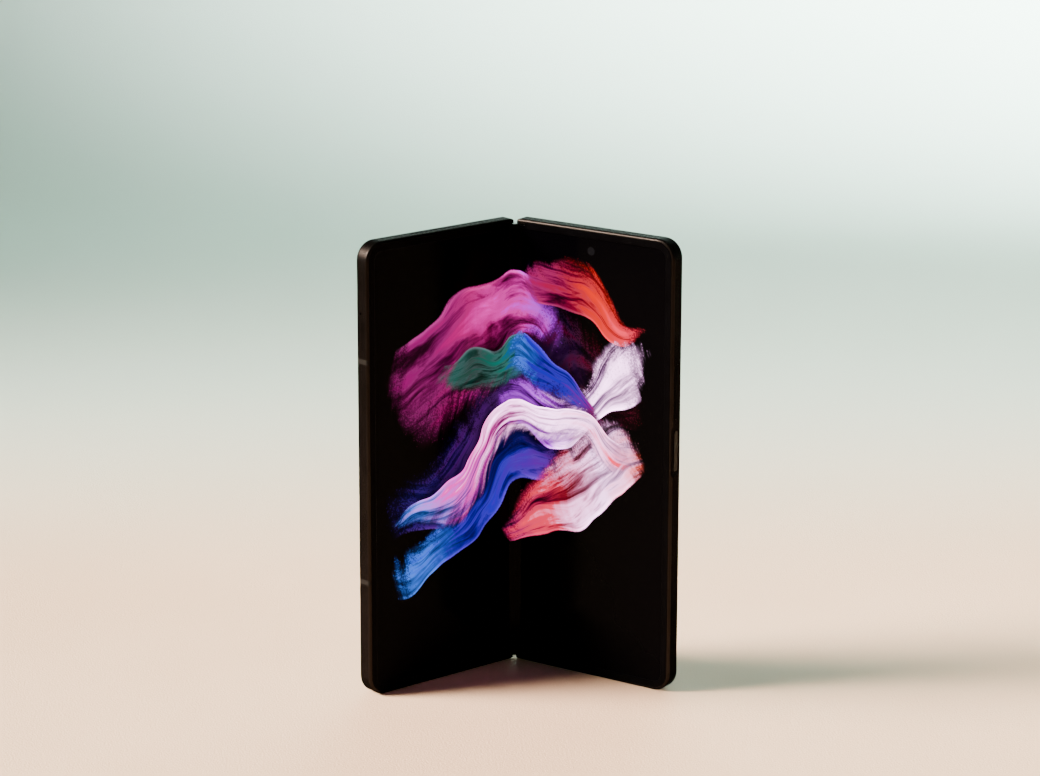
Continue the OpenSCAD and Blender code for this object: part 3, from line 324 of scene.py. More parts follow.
# A point of one half's section, turned by an angle about that half's fold axis
def turned(side, u, depth, angle):
    du, dd = u - phone["axisX"], depth - phone["lip"]
    c, s = math.cos(angle), math.sin(angle)
    return (side * (phone["axisX"] + du * c + dd * s), phone["foldY"] + phone["lip"] - du * s + dd * c)


# Where the bend starts on a half at rest
def bendStart(side):
    return turned(side, phone["flexHalf"], phone["lip"], foldAngle)


settleRounds = 60       # enough for the share of the turn to settle


# A flat point of one half at rest.
def atRest(side, u, depth):
    x0, y0 = bendStart(side)
    x1, y1 = 0.0, phone["foldY"] + phone["lip"]
    dx, dy = x1 - x0, y1 - y0
    share = 0.0 if u >= phone["flexHalf"] else 0.5
    for _ in range(settleRounds):
        x, y = turned(side, u, depth, foldAngle * (1 - share))
        wanted = smoothStep(((x - x0) * dx + (y - y0) * dy) / (dx * dx + dy * dy))
        share = 0.5 * share + 0.5 * wanted
    return turned(side, u, depth, foldAngle * (1 - share))


sideNames = {-1: ("Left", "left"), 1: ("Right", "right")}


# Adds a piece of one half, whose faces are listed the way round that suits the right half
def addSided(name, side, verts, faces, slot, material=None, **extra):
    if side < 0:
        faces = [f[::-1] for f in faces]
    obj = addObject(name + sideNames[side][0], verts, faces, material or materials[slot], **extra)
    return obj


# Bakes a piece's placement into its mesh; its shape already runs from its half to the spine
def bendBetween(obj):
    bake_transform(obj)


def bendWithScreen(obj):
    bendBetween(obj)


innerScreen = {"thickness": 0.7, "bendColumns": 20, "flatColumns": 14, "cornerColumns": 10,
               "rows": 24, "mapSize": 160}


def screenColumns():
    r = phone["cornerRadius"] - phone["panelInset"]
    outer = phone["halfWidth"] - phone["panelInset"]
    flex = phone["flexHalf"]
    bend, flat, corner = (innerScreen[k + "Columns"] for k in ("bend", "flat", "corner"))
    cols = [flex * i / bend for i in range(bend)]
    cols += [flex + (outer - r - flex) * i / flat for i in range(flat)]
    cols += [outer - r + r * math.sin(math.pi / 2 * i / corner) for i in range(corner + 1)]
    return cols, outer, r


def makeInnerScreen(side, material):
    cols, outer, r = screenColumns()
    height, inset = phone["height"], phone["panelInset"]
    rows, span = innerScreen["rows"], innerScreen["mapSize"]
    verts, uv, faces = [], [], []
    for depth in (phone["lip"], phone["lip"] + innerScreen["thickness"]):
        for u in cols:
            past = max(0.0, u - (outer - r))
            low = inset + r - math.sqrt(max(0.0, r * r - past * past))
            x, y = atRest(side, u, depth)
            for j in range(rows + 1):
                h = low + (height - 2 * low) * j / rows
                verts.append((x, y, h))
                uv.append(((side * u + span / 2) / span, h / span))
    n, m = len(cols), rows + 1
    back = n * m
    for i in range(n - 1):
        for j in range(rows):
            a, b = i * m + j, (i + 1) * m + j
            faces += [(a, b, b + 1, a + 1), (back + a + 1, back + b + 1, back + b, back + a)]
        a, b = i * m, (i + 1) * m
        faces += [(b, a, back + a, back + b), (a + rows, b + rows, back + b + rows, back + a + rows)]
    for j in range(rows):
        a, b = j, (n - 1) * m + j
        faces += [(b, b + 1, back + b + 1, back + b), (a + 1, a, back + a, back + a + 1)]
    obj = addSided("innerScreen", side, verts, faces, "inner_screen", material, smooth=True, uv=uv)
    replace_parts(obj, *(["screen_left", "screen_fold"] if side < 0 else ["screen_right"]))
    bendWithScreen(obj)


# Each ribbon: where its sharp edge runs, its width, where it starts and ends, its colours and strength.
# Lengths are millimetres on the open screen, x from the fold and y from the bottom.
# waves are (height, turns per mm, phase); flip puts the sharp edge on top.
ribbonKeys = "level slope waves width ends fade colours strength dust flip seed".split()
ribbons = [dict(zip(ribbonKeys, row)) for row in (
    (64, 0.45, ((10, 0.050, 0.4), (3, 0.11, 1.0)), 82, (-64, 60), 22,
     "royal violet purple red", 0.3, 1.0, False, 1.3),
    (138, 0.05, ((11, 0.055, 2.4), (3, 0.16, 0.2)), 70, (-62, 22), 12,
     "magenta magenta hotPink pink lilac", 0.62, 0.6, True, 4.1),
    (42, 0.46, ((9, 0.060, 0.9), (2, 0.19, 2.0)), 54, (-60, 24), 12,
     "lightBlue royal royal violet", 0.8, 0.8, False, 7.7),
    (113, -0.30, ((8, 0.075, 1.9), (2, 0.21, 0.6)), 28, (-38, 14), 8,
     "teal green teal royal", 0.9, 0.35, True, 9.2),
    (128, 0.10, ((6, 0.070, 0.9), (2, 0.20, 1.6)), 32, (2, 60), 8,
     "magenta red orangeRed coral", 0.8, 0.6, False, 6.4),
    (76, 0.50, ((10, 0.052, 3.4), (3, 0.15, 1.4)), 54, (-12, 62), 10,
     "violet lilac whitePink whitePink", 0.9, 0.6, False, 2.9),
    (118, -0.50, ((6, 0.080, 0.8), (2, 0.23, 2.2)), 30, (-4, 42), 8,
     "lightBlue royal royal red", 0.75, 1.0, True, 8.6),
    (34, 0.34, ((12, 0.050, 4.4), (3, 0.14, 0.0)), 52, (-6, 62), 10,
     "magenta coral whitePink peach", 0.7, 0.6, False, 5.5),
    (78, 0.32, ((12, 0.058, 1.2), (3, 0.17, 2.8)), 26, (-60, 58), 12,
     "lightBlue pink whitePink coral", 0.95, 0.3, True, 3.3),
)]
inks = {
    "magenta": (0.60, 0.00, 0.28), "hotPink": (1.1, 0.00, 0.36), "pink": (1.8, 0.04, 0.9),
    "lilac": (1.4, 0.08, 2.6), "teal": (0.0, 0.20, 0.15), "green": (0.005, 0.07, 0.04),
    "lightBlue": (0.1, 0.6, 2.8), "royal": (0.02, 0.0, 0.85), "violet": (0.22, 0.0, 0.5),
    "purple": (0.08, 0.0, 0.13), "whitePink": (5.8, 2.9, 5.5), "coral": (2.2, 0.06, 0.16),
    "orangeRed": (1.7, 0.03, 0.0), "red": (0.75, 0.0, 0.06), "peach": (3.4, 0.4, 0.3),
}
picture = {
    "strength": 1.0, "cell": 0.40, "warp": (14.0, 28.0), "warpScale": 0.028, "shade": 0.6,
    "cameraAt": (30.75, 150.65), "cameraRadius": 1.5, "cameraEdge": 0.12, "specular": 0.012,
    "bottom": 36.0, "low": 14.0, "squeeze": 1.32, "narrow": 1.12, "speckPower": 0.8, "dustShare": 0.5,
    "dustRange": (0.0, 0.5, 0.35, 1.0), "hole": (0.0045, 0.0042, 0.0055), "holeShare": 0.9,
    "glass": ((0.0004, 0.0003, 0.0006), (0.002, 0.002, 0.0025)), "smear": (0.35, 0.75, 0.09, 0.2),
}
# How one ribbon looks: breadth swells along it, silk runs along it and plumes fray it
silkLook = {
    "breadth": (0.78, 0.22), "swell": 0.07, "silkStretch": (0.030, 5.5), "silkDetail": (7.0, 0.62),
    "distortion": 0.6, "plumeLean": 14.0, "plumeStretch": (0.22, 0.9), "plumeDetail": (6.0, 0.65),
    "plumeSeed": 3.0, "frayAcross": 0.9, "frayAlong": 16.0, "tipAt": 0.25, "tipLength": 60.0,
    "front": (0.0, 0.02), "back": (0.95, 0.35), "creaseSharpness": (5.0, 3.0), "creaseShare": 0.35,
    "foldRange": (0.30, 0.72, 0.05, 1.2), "rim": (0.07, 0.0), "rimShare": 0.8, "toneSilk": 0.9,
    "tonePlume": 0.25, "shine": (4.6, 2.4, 4.6), "shineShare": 0.025, "shadeFrom": -0.30,
}


# Gives a ribbon's cover, its colour and the shade that it throws past its sharp edge
def ribbonLayer(t, r, x, y):
    s = silkLook
    centre = t.add(r["level"], t.mul(x, r["slope"]))
    for height, turns, phase in r["waves"]:
        centre = t.add(centre, t.mul(t.math("SINE", t.add(t.mul(x, turns), phase)), height))
    wide, swell = s["breadth"]
    breadth = t.math("SINE", t.add(t.mul(x, s["swell"]), r["seed"]))
    breadth = t.mul(t.add(wide, t.mul(breadth, swell)), r["width"])
    across = t.math("DIVIDE", t.minus(y, centre), breadth)
    if r["flip"]:
        across = t.minus(0.0, across)
    along, over = s["silkStretch"]
    silk = t.noise(t.combined(t.mul(x, along), t.mul(across, over), r["seed"]), 1.0, *s["silkDetail"],
                   Distortion=s["distortion"])
    along, over = s["plumeStretch"]
    strand = t.mul(t.add(x, t.mul(across, s["plumeLean"])), along)
    plume = t.noise(t.combined(strand, t.mul(across, over), r["seed"] + s["plumeSeed"]), 1.0,
                    *s["plumeDetail"])
    low, high = r["ends"]
    frayed = t.add(across, t.swing(plume, s["frayAcross"]))
    loose = t.add(x, t.swing(plume, s["frayAlong"]))
    off = t.minus(across, s["tipAt"])
    tip = t.mul(off, off, s["tipLength"])
    reach = t.mul(t.ramp(t.minus(loose, tip), low, low + r["fade"]),
                  t.ramp(t.add(loose, tip), high, high - r["fade"]))
    body = t.mul(t.ramp(across, *s["front"]), t.ramp(frayed, *s["back"]), reach)
    thin, power = s["creaseSharpness"]
    crease = t.mul(t.math("ABSOLUTE", t.minus(silk, 0.5)), thin)
    crease = t.math("POWER", t.math("SUBTRACT", 1.0, crease, clamp=True), power)
    folds = t.add(t.ramp(silk, *s["foldRange"]), t.mul(crease, s["creaseShare"]))
    rim = t.ramp(across, *s["rim"])
    tone = t.add(t.ramp(x, low, high, smooth=False), t.swing(silk, s["toneSilk"]),
                 t.swing(plume, s["tonePlume"]))
    names = r["colours"].split()
    colour = t.colours(tone, [(i / (len(names) - 1), inks[c]) for i, c in enumerate(names)])
    gloss = t.mul(t.math("MAXIMUM", rim, t.mul(crease, 0.5)), s["shineShare"])
    glow = t.mul(t.add(folds, t.mul(rim, s["rimShare"])), r["strength"])
    lit = t.out("ShaderNodeVectorMath", {0: t.mix(gloss, colour, s["shine"]), "Scale": glow},
                operation="SCALE")
    shade = t.mul(t.ramp(across, s["shadeFrom"], 0.0), reach)
    return body, lit, shade


def pictureMaterial():
    mat, t, shader, place = newMaterial("screenPicture")
    parts = t.separated(t.out("ShaderNodeUVMap", uv_map="flat"))
    span = innerScreen["mapSize"]
    x0 = t.minus(t.mul(parts[0], span), span / 2)
    y0 = t.mul(parts[1], span)
    flat = t.combined(x0, y0, 0.0)
    warp = t.node("ShaderNodeTexNoise", {"Vector": flat, "Scale": picture["warpScale"], "Detail": 2.0})
    bent = t.separated(warp.outputs["Color"])
    tall = t.add(picture["low"], t.mul(t.minus(y0, picture["bottom"]), picture["squeeze"]))
    x = t.add(t.mul(x0, picture["narrow"]), t.swing(bent[0], picture["warp"][0]))
    y = t.add(tall, t.swing(bent[1], picture["warp"][1]))
    cell = t.out("ShaderNodeVectorMath", {0: flat, 1: (picture["cell"],) * 3}, operation="SNAP")
    grain = t.node("ShaderNodeTexWhiteNoise", {"Vector": cell}, noise_dimensions="3D").outputs["Value"]
    total = (0.0, 0.0, 0.0)
    for r in ribbons:
        body, colour, shade = ribbonLayer(t, r, x, y)
        speck = t.math("GREATER_THAN", t.math("POWER", body, picture["speckPower"]), grain)
        dusty = t.mul(speck, t.ramp(body, *picture["dustRange"]))
        share = picture["dustShare"] * r["dust"]
        cover = t.add(t.mul(body, 1 - share), t.mul(dusty, share))
        total = t.mix(t.mul(shade, picture["shade"]), total, (0.0, 0.0, 0.0))
        total = t.mix(cover, total, colour)
    away = t.reach(*(t.minus(v, c) for v, c in zip((x0, y0), picture["cameraAt"])))
    radius = picture["cameraRadius"]
    hole = t.ramp(away, radius, radius - picture["cameraEdge"])
    total = t.mix(t.mul(hole, picture["holeShare"]), total, picture["hole"])
    t.feed(shader, {
        "Base Color": t.mix(hole, *picture["glass"]),
        "Emission Color": total, "Emission Strength": picture["strength"],
        "Roughness": t.ramp(t.noise(place, 30.0, 4.0), *picture["smear"]),
        "Specular IOR Level": picture["specular"]})
    return mat


pictureFinish = pictureMaterial()
for half in (-1, 1):
    makeInnerScreen(half, pictureFinish)
print("stage: inner screen")

lattice = {
    "pitch": 7.0, "rows": 21, "slot": 0.3, "spacing": 1.1, "share": 0.7, "front": 1.05, "back": 1.2,
    "columns": (0, 0.15, 0.35, 0.55, 0.75, 0.95, 1.1, 1.25, 1.6, 2.0, 2.4, 2.8, 3.2),
}


# The heights where one column of slots starts and ends
def slotSpans(row):
    reach = lattice["share"] * lattice["pitch"] / 2
    spans = []
    for i in range(lattice["rows"]):
        step = i - (lattice["rows"] - 1) / 2 + row / 2 - 0.25
        mid = phone["height"] / 2 + step * lattice["pitch"]
        spans.append((mid - reach, mid + reach))
    return spans


# The slotted plate behind the fold, on one half
def makeLattice(side):
    inset, height = phone["panelInset"], phone["height"]
    cols = lattice["columns"]
    slots = ((0, slotSpans(0)), (lattice["spacing"], slotSpans(1)))
    cuts = {inset, height - inset, *(h for _, row in slots for span in row for h in span)}
    cuts = sorted(h for h in cuts if inset <= h <= height - inset)
    half = lattice["slot"] / 2

    def isOpen(i, j):
        u, h = (cols[i] + cols[i + 1]) / 2, (cuts[j] + cuts[j + 1]) / 2
        return any(abs(u - mid) < half and any(a < h < b for a, b in row) for mid, row in slots)

    n, m = len(cols), len(cuts)
    back = n * m
    solid = {(i, j) for i in range(n - 1) for j in range(m - 1) if not isOpen(i, j)}
    verts, faces = [], []
    for depth in (lattice["front"], lattice["back"]):
        for u in cols:
            x, y = atRest(side, u, depth)
            verts += [(x, y, h) for h in cuts]
    for i, j in sorted(solid):
        a, b, c, d = i * m + j, (i + 1) * m + j, (i + 1) * m + j + 1, i * m + j + 1
        faces += [(a, b, c, d), (back + d, back + c, back + b, back + a)]
        edges = ((i, j - 1), a, b), ((i + 1, j), b, c), ((i, j + 1), c, d), ((i - 1, j), d, a)
        faces += [(q, p, back + p, back + q) for near, p, q in edges if near not in solid]
    obj = addSided("foldLattice", side, verts, faces, "plate_steel")
    bendWithScreen(obj)
    return obj


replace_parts(makeLattice(-1), "fold_lattice")
makeLattice(1)
print("stage: fold lattice")

cable = {
    "width": 9.0, "thickness": 0.16, "heights": (70.1, 88.1), "steps": 6,
    "onHalf": ((9.5, 2.7), (7.5, 2.55), (6.8, 2.0)),
    "inSpine": ((4.95, 2.25), (3.95, 2.9), (1.95, 3.51), (0.0, 3.81)),
}


# A smooth line that passes through each point
def smoothLine(points, steps):
    line = []
    for i in range(len(points) - 1):
        a, b, c, d = (points[min(max(k, 0), len(points) - 1)] for k in (i - 1, i, i + 1, i + 2))
        for s in range(steps):
            t = s / steps
            line.append(((b * 2) + (c - a) * t + (a * 2 - b * 5 + c * 4 - d) * t * t
                         + (b * 3 - a - c * 3 + d) * t ** 3) / 2)
    return line + [points[-1]]


# The flat cables on one side of the hinge, from the half into the spine
def makeCable(side):
    route = [Vector(turned(side, u, d, foldAngle)) for u, d in cable["onHalf"]]
    route += [Vector((side * u, phone["foldY"] + d)) for u, d in cable["inSpine"]]
    line = smoothLine(route, cable["steps"])
    last, half = len(line) - 1, cable["width"] / 2
    verts, faces = [], []
    for middle in cable["heights"]:
        start = len(verts)
        for i, p in enumerate(line):
            ahead = (line[min(i + 1, last)] - line[max(i - 1, 0)]).normalized()
            off = Vector((-ahead.y, ahead.x)) * cable["thickness"] / 2
            for h in (middle - half, middle + half):
                verts += [(p.x + off.x, p.y + off.y, h), (p.x - off.x, p.y - off.y, h)]
        for i in range(last):
            a, b = start + 4 * i, start + 4 * (i + 1)
            faces += [(b + p, b + q, a + q, a + p) for p, q in ((0, 2), (2, 3), (3, 1), (1, 0))]
        end = start + 4 * last
        faces += [(start + 2, start + 3, start + 1, start), (end, end + 1, end + 3, end + 2)]
    obj = addSided("hingeCable", side, verts, faces, "flex_film", smooth=True)
    bendBetween(obj)
    return obj


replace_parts(makeCable(-1), "hinge_flex_cables")
makeCable(1)
print("stage: hinge cables")


class GeoTree(Tree):
    # a geometry tree with named inputs, each a length in millimetres or a count
    def __init__(self, name, **inputs):
        super().__init__(bpy.data.node_groups.new(name, "GeometryNodeTree"))
        self.face = self.tree.interface
        for way in ("INPUT", "OUTPUT"):
            self.face.new_socket("Geometry", in_out=way, socket_type="NodeSocketGeometry")
        self.defaults = inputs
        for key, value in inputs.items():
            kind = "NodeSocketInt" if isinstance(value, int) else "NodeSocketFloat"
            self.face.new_socket(key, in_out="INPUT", socket_type=kind).default_value = value
        self.start = self.node("NodeGroupInput")
        self.end = self.node("NodeGroupOutput")

    def __getitem__(self, key):
        return self.start.outputs[key]

    def mm(self, key, factor=1.0):
        return self.math("MULTIPLY", self[key], factor * mm)

    def moved(self, geometry, offset=(0, 0, 0), rotation=(0, 0, 0)):
        return self.out("GeometryNodeTransform", {
            "Geometry": geometry, "Translation": offset, "Rotation": rotation})

    def rod(self, sides, radius, length):
        return self.out("GeometryNodeMeshCylinder", {
            "Vertices": sides, "Radius": self.mm(radius), "Depth": self.mm(length)})

    def bar(self, x, y, z):
        return self.out("GeometryNodeMeshCube", {"Size": self.combined(x, y, z)})

    def grid(self):
        return self.out("GeometryNodeMeshGrid", {
            "Size X": self.mm("spanX"), "Size Y": self.mm("spanY"),
            "Vertices X": self["columns"], "Vertices Y": self["rows"]})

    def wire(self, curve, sides):
        ring = self.out("GeometryNodeCurvePrimitiveCircle", {
            "Resolution": sides, "Radius": self.mm("wireRadius")})
        return self.out("GeometryNodeCurveToMesh", {
            "Curve": curve, "Profile Curve": ring, "Fill Caps": True})

    def spread(self, points, piece, **extra):
        return self.out("GeometryNodeInstanceOnPoints", {"Points": points, "Instance": piece, **extra})

    # puts one piece on every point that the tree is given
    def close(self, piece, material):
        many = self.spread(self["Geometry"], piece)
        real = self.out("GeometryNodeRealizeInstances", {"Geometry": many})
        painted = self.out("GeometryNodeSetMaterial", {"Geometry": real, "Material": material})
        self.put(self.end.inputs[0], painted)
        return self


# Grows a plain mesh from a tree, in the frame of one half or of the spine.
# The tree's inputs take their values from sizes where it has them.
def grow(name, tree, points, place, sizes=None, smooth=False):
    seed = addToScene(name + "Points", newMesh(name + "Points", points))
    modifier = seed.modifiers.new("grow", "NODES")
    modifier.node_group = tree.tree
    for item in tree.face.items_tree:
        if item.in_out == "INPUT" and item.name in tree.defaults:
            modifier[item.identifier] = (sizes or {}).get(item.name, tree.defaults[item.name])
    bpy.context.view_layer.update()
    graph = bpy.context.evaluated_depsgraph_get()
    mesh = bpy.data.meshes.new_from_object(seed.evaluated_get(graph))
    mesh.name = name
    bpy.data.objects.remove(seed)
    mesh.transform(place)
    if place.determinant() < 0:
        mesh.flip_normals()
    if smooth:
        shadeSmooth(mesh)
    return addToScene(name, mesh)


# Hides the CAD piece that a piece stands in for, if any, and puts it on the body it rides on
def dress(obj, body, node=None):
    if node:
        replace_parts(obj, node)
    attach(obj, body)


# Turns a plan, with y up and z towards the viewer, into a section, with y the depth and z up
stand = Matrix(((1, 0, 0, 0), (0, 0, -1, 0), (0, 1, 0, 0), (0, 0, 0, 1)))


# A half's own section: x outwards from the fold line, y the depth, z the height
def halfSection(side):
    ax, lip = phone["axisX"] * mm, phone["lip"] * mm
    hinge = Matrix.Translation((side * ax, phone["foldY"] * mm + lip, 0))
    turn = Matrix.Rotation(-side * foldAngle, 4, "Z")
    back = Matrix.Translation((-side * ax, -lip, 0))
    return hinge @ turn @ back @ Matrix.Diagonal((side, 1, 1, 1))


def halfPlan(side):
    return halfSection(side) @ stand


def spinePlan():
    return Matrix.Translation((0, phone["foldY"] * mm, 0)) @ stand


# A screw with a cross cut into its flat head
def screwTree(material):
    t = GeoTree("crossScrews", headRadius=0.8, headHeight=0.2, shaftRadius=0.4, shaftLength=1.0,
                crossLength=0.8, crossWidth=0.18, crossDepth=0.13)
    head = t.moved(t.rod(32, "headRadius", "headHeight"), t.combined(z=t.mm("headHeight", -0.5)))
    low = t.add(t.mm("headHeight", -1.0), t.mm("shaftLength", -0.5))
    shaft = t.moved(t.rod(20, "shaftRadius", "shaftLength"), t.combined(z=low))
    bars = [t.bar(t.mm(a), t.mm(b), t.mm("crossDepth", 2.0))
            for a, b in (("crossLength", "crossWidth"), ("crossWidth", "crossLength"))]
    cut = t.out("GeometryNodeMeshBoolean", {"Mesh 1": head, "Mesh 2": bars}, operation="DIFFERENCE")
    whole = t.out("GeometryNodeJoinGeometry", {"Geometry": [cut, shaft]})
    return t.close(whole, material)


screws = {"headHeight": 0.2, "headRadius": 0.8, "shaftRadius": 0.4, "shaftLength": 0.8,
          "u": 9.3, "front": 1.2, "heights": (6.0, 57.1, 101.1, 152.2)}
brackets = {"starts": (14.0, 124.2), "length": 20.0, "footFrom": 2.1, "footTo": 7.879, "front": 2.3,
            "places": (1.0, 19.0), "headHeight": 0.4, "headRadius": 0.75, "shaftRadius": 0.4,
            "shaftLength": 2.35, "crossDepth": 0.25}


# The screws in one half: along the wing plate and through the rotators' feet
def screwPoints(side):
    points = list(screws["heights"])
    low, high = brackets["footFrom"], brackets["footTo"]
    for start in brackets["starts"]:
        foot = start + (low if side < 0 else brackets["length"] - high)
        points += [foot + k * (high - low) for k in (0.25, 0.75)]
    return [(screws["u"], h, -screws["front"]) for h in points]


def makeScrews():
    tree = screwTree(materials["screw_steel"])
    for side, (title, word) in sideNames.items():
        obj = grow("wingScrews" + title, tree, screwPoints(side), halfPlan(side), screws, smooth=True)
        dress(obj, word + "_half", "wing_screws_" + word)
    points = [(0, b + s, -brackets["front"]) for b in brackets["starts"] for s in brackets["places"]]
    obj = grow("bracketScrews", tree, points, spinePlan(), brackets, smooth=True)
    dress(obj, "spine", "bracket_screws")


sweeper = {"starts": ((6.2, 4.42), (6.2, 4.75), (6.55, 4.42)), "bottom": 1.9, "angle": 43.6,
           "pitch": 0.4, "count": 387, "radius": 0.05}


# Rows of short fibres that lean at random
def bristleTree(material):
    t = GeoTree("bristleRow", count=380, pitch=0.4, radius=0.05, length=0.85, lean=0.16, seed=5)
    line = t.out("GeometryNodeMeshLine", {"Count": t["count"], "Offset": t.combined(z=t.mm("pitch"))})
    fibre = t.moved(t.rod(5, "radius", "length"), t.combined(z=t.mm("length", 0.5)))
    laid = t.moved(fibre, rotation=(0, -math.pi / 2, 0))
    laid = t.moved(laid, rotation=(0, 0, math.radians(sweeper["angle"])))
    low, high = t.mul(t["lean"], -1.0), t["lean"]
    turn = t.out("FunctionNodeRandomValue", {
        "Seed": t["seed"], 0: t.combined(low, low), 1: t.combined(high, high, 1.0)},
        data_type="FLOAT_VECTOR")
    return t.close(t.spread(line, laid, Rotation=turn), material)


def makeSweeperFibres():
    tree = bristleTree(materials["sweeper_rubber"])
    points = [(u, d, sweeper["bottom"]) for u, d in sweeper["starts"]]
    for side, (title, word) in sideNames.items():
        obj = grow("sweeperFibres" + title, tree, points, halfSection(side), sweeper)
        dress(obj, word + "_half")


# A flat winding of round wire
def coilTree(material):
    t = GeoTree("flatWinding", turns=13.0, innerRadius=10.5, outerRadius=19.8, wireRadius=0.1)
    spiral = t.out("GeometryNodeCurveSpiral", {
        "Resolution": 56, "Rotations": t["turns"], "Height": 0.0,
        "Start Radius": t.mm("innerRadius"), "End Radius": t.mm("outerRadius")})
    return t.close(t.wire(spiral, 8), material)


winding = {"u": 35.725, "h": 59.5, "depth": 5.62, "turns": 13.0, "innerRadius": 10.6,
           "outerRadius": 19.8, "wireRadius": 0.1, "sheet": (9.0, 22.0), "sheetDepths": (5.45, 5.52)}


def makeCoil():
    points = [(winding["u"], winding["h"], -winding["depth"])]
    obj = grow("coilWinding", coilTree(materials["coil_copper"]), points, halfPlan(1), winding,
               smooth=True)
    dress(obj, "right_half", "charging_coil")


smallParts = {"least": (0.4, 0.35, 0.25), "largest": (1.5, 0.95), "back": 2.4}


# Rows of small parts on a board, each with its own size and some left out
def componentTree(material):
    t = GeoTree("boardParts", spanX=20.0, spanY=20.0, columns=10, rows=10, tallest=0.9, seed=3,
                share=0.7)
    cube = t.moved(t.out("GeometryNodeMeshCube", {"Size": (1, 1, 1)}), t.combined(z=-0.5))
    wide, deep = (v * mm for v in smallParts["largest"])
    size = t.out("FunctionNodeRandomValue", {
        "Seed": t["seed"], 0: tuple(v * mm for v in smallParts["least"]),
        1: t.combined(wide, deep, t.mm("tallest"))}, data_type="FLOAT_VECTOR")
    keep = t.node("FunctionNodeRandomValue", {"Seed": t["seed"], "Probability": t["share"]},
                  data_type="BOOLEAN").outputs[3]
    return t.close(t.spread(t.grid(), cube, Selection=keep, Scale=size), material)


boardKeys = ("side", "at", "spanX", "spanY", "columns", "rows", "tallest")
boards = {
    "mainBoardParts": (1, (54.0, 102.0), 11.0, 6.0, 7, 5, 1.4),
    "subBoardParts": (-1, (26.0, 125.5), 20.0, 20.0, 12, 12, 1.8),
    "chargingParts": (1, (41.0, 12.3), 7.0, 14.0, 5, 9, 1.2),
    "powerParts": (1, (18.8, 12.3), 8.5, 14.0, 5, 8, 1.6),
}


def makeBoardParts():
    for name, row in boards.items():
        part = dict(zip(boardKeys, row))
        tree = componentTree(materials["chip_black"])
        obj = grow(name, tree, [(*part["at"], -smallParts["back"])], halfPlan(part["side"]), part)
        dress(obj, sideNames[part["side"]][1] + "_half")


# A patch of woven wire across each speaker slot
def meshTree(material):
    t = GeoTree("wovenPatch", spanX=1.4, spanY=0.95, columns=8, rows=6, wireRadius=0.035)
    wires = t.wire(t.out("GeometryNodeMeshToCurve", {"Mesh": t.grid()}), 6)
    return t.close(t.moved(wires, rotation=(math.pi / 2, 0, 0)), material)


speakerMesh = {"middle": 33.25, "pitch": 1.97, "count": 10, "depth": 3.175, "heights": (1.3, 156.9)}


def makeSpeakerMesh():
    s = speakerMesh
    points = [(s["middle"] + (i - (s["count"] - 1) / 2) * s["pitch"], h, -s["depth"])
              for h in s["heights"] for i in range(s["count"])]
    dress(grow("speakerMesh", meshTree(materials["mesh_steel"]), points, halfPlan(-1)), "left_half")


# A line of equal strips, such as a socket's contacts
def contactTree(material):
    t = GeoTree("contactRow", count=12, pitch=0.5, width=0.26, thickness=0.05, length=4.0)
    first = t.mul(t.mm("pitch", -0.5), t.minus(t["count"], 1.0))
    line = t.out("GeometryNodeMeshLine", {
        "Count": t["count"], "Start Location": t.combined(first), "Offset": t.combined(t.mm("pitch"))})
    strip = t.bar(t.mm("width"), t.mm("length"), t.mm("thickness"))
    return t.close(t.spread(line, strip), material)


socket = {"u": 30.0, "h": 5.0, "depth": 3.375, "faces": (-0.36, 0.36)}


def makeContacts():
    points = [(socket["u"], socket["h"], -socket["depth"] - face) for face in socket["faces"]]
    obj = grow("socketContacts", contactTree(materials["contact_gold"]), points, halfPlan(1))
    dress(obj, "right_half")


makeScrews()
makeSweeperFibres()
makeCoil()
makeBoardParts()
makeSpeakerMesh()
makeContacts()
print("stage: screws, fibres, winding and small parts")


def fixNormals(mesh):
    bm = bmesh.new()
    bm.from_mesh(mesh)
    bmesh.ops.recalc_face_normals(bm, faces=bm.faces)
    bm.to_mesh(mesh)
    bm.free()


lens = {
    "segments": 64, "tip": 0.01, "windowFront": 6.8, "windowBack": 7.35, "windowRadius": 5.1,
    "clearRadius": 3.9, "windowEdge": 0.05, "module": 10.6, "moduleDepths": (1.9, 5.3),
    "led": 1.7, "ledDepth": 5.7, "ledGap": 0.1, "u": 52.35, "heights": (146.1, 132.9, 119.7),
    "flashHeight": 109.7, "flashRadius": 1.8, "flashRim": 0.35,
    "chamfer": 0.06, "mouth": (0.75, 0.70, 0.30, 0.25), "mouthStep": 0.15, "domeRows": 12,
    "ultrawide": dict(h=146.1, radius=3.7, foot=5.2, top=6.7, dome=2.45, depth=0.45, bulge=0.35),
    "tele": dict(h=119.7, radius=3.4, foot=5.2, top=6.7, dome=1.75, depth=0.8, bulge=0.2),
    "main": dict(h=132.9, radius=2.9, foot=3.4, top=6.45, dome=2.05, depth=0.6, bulge=0.3),
}


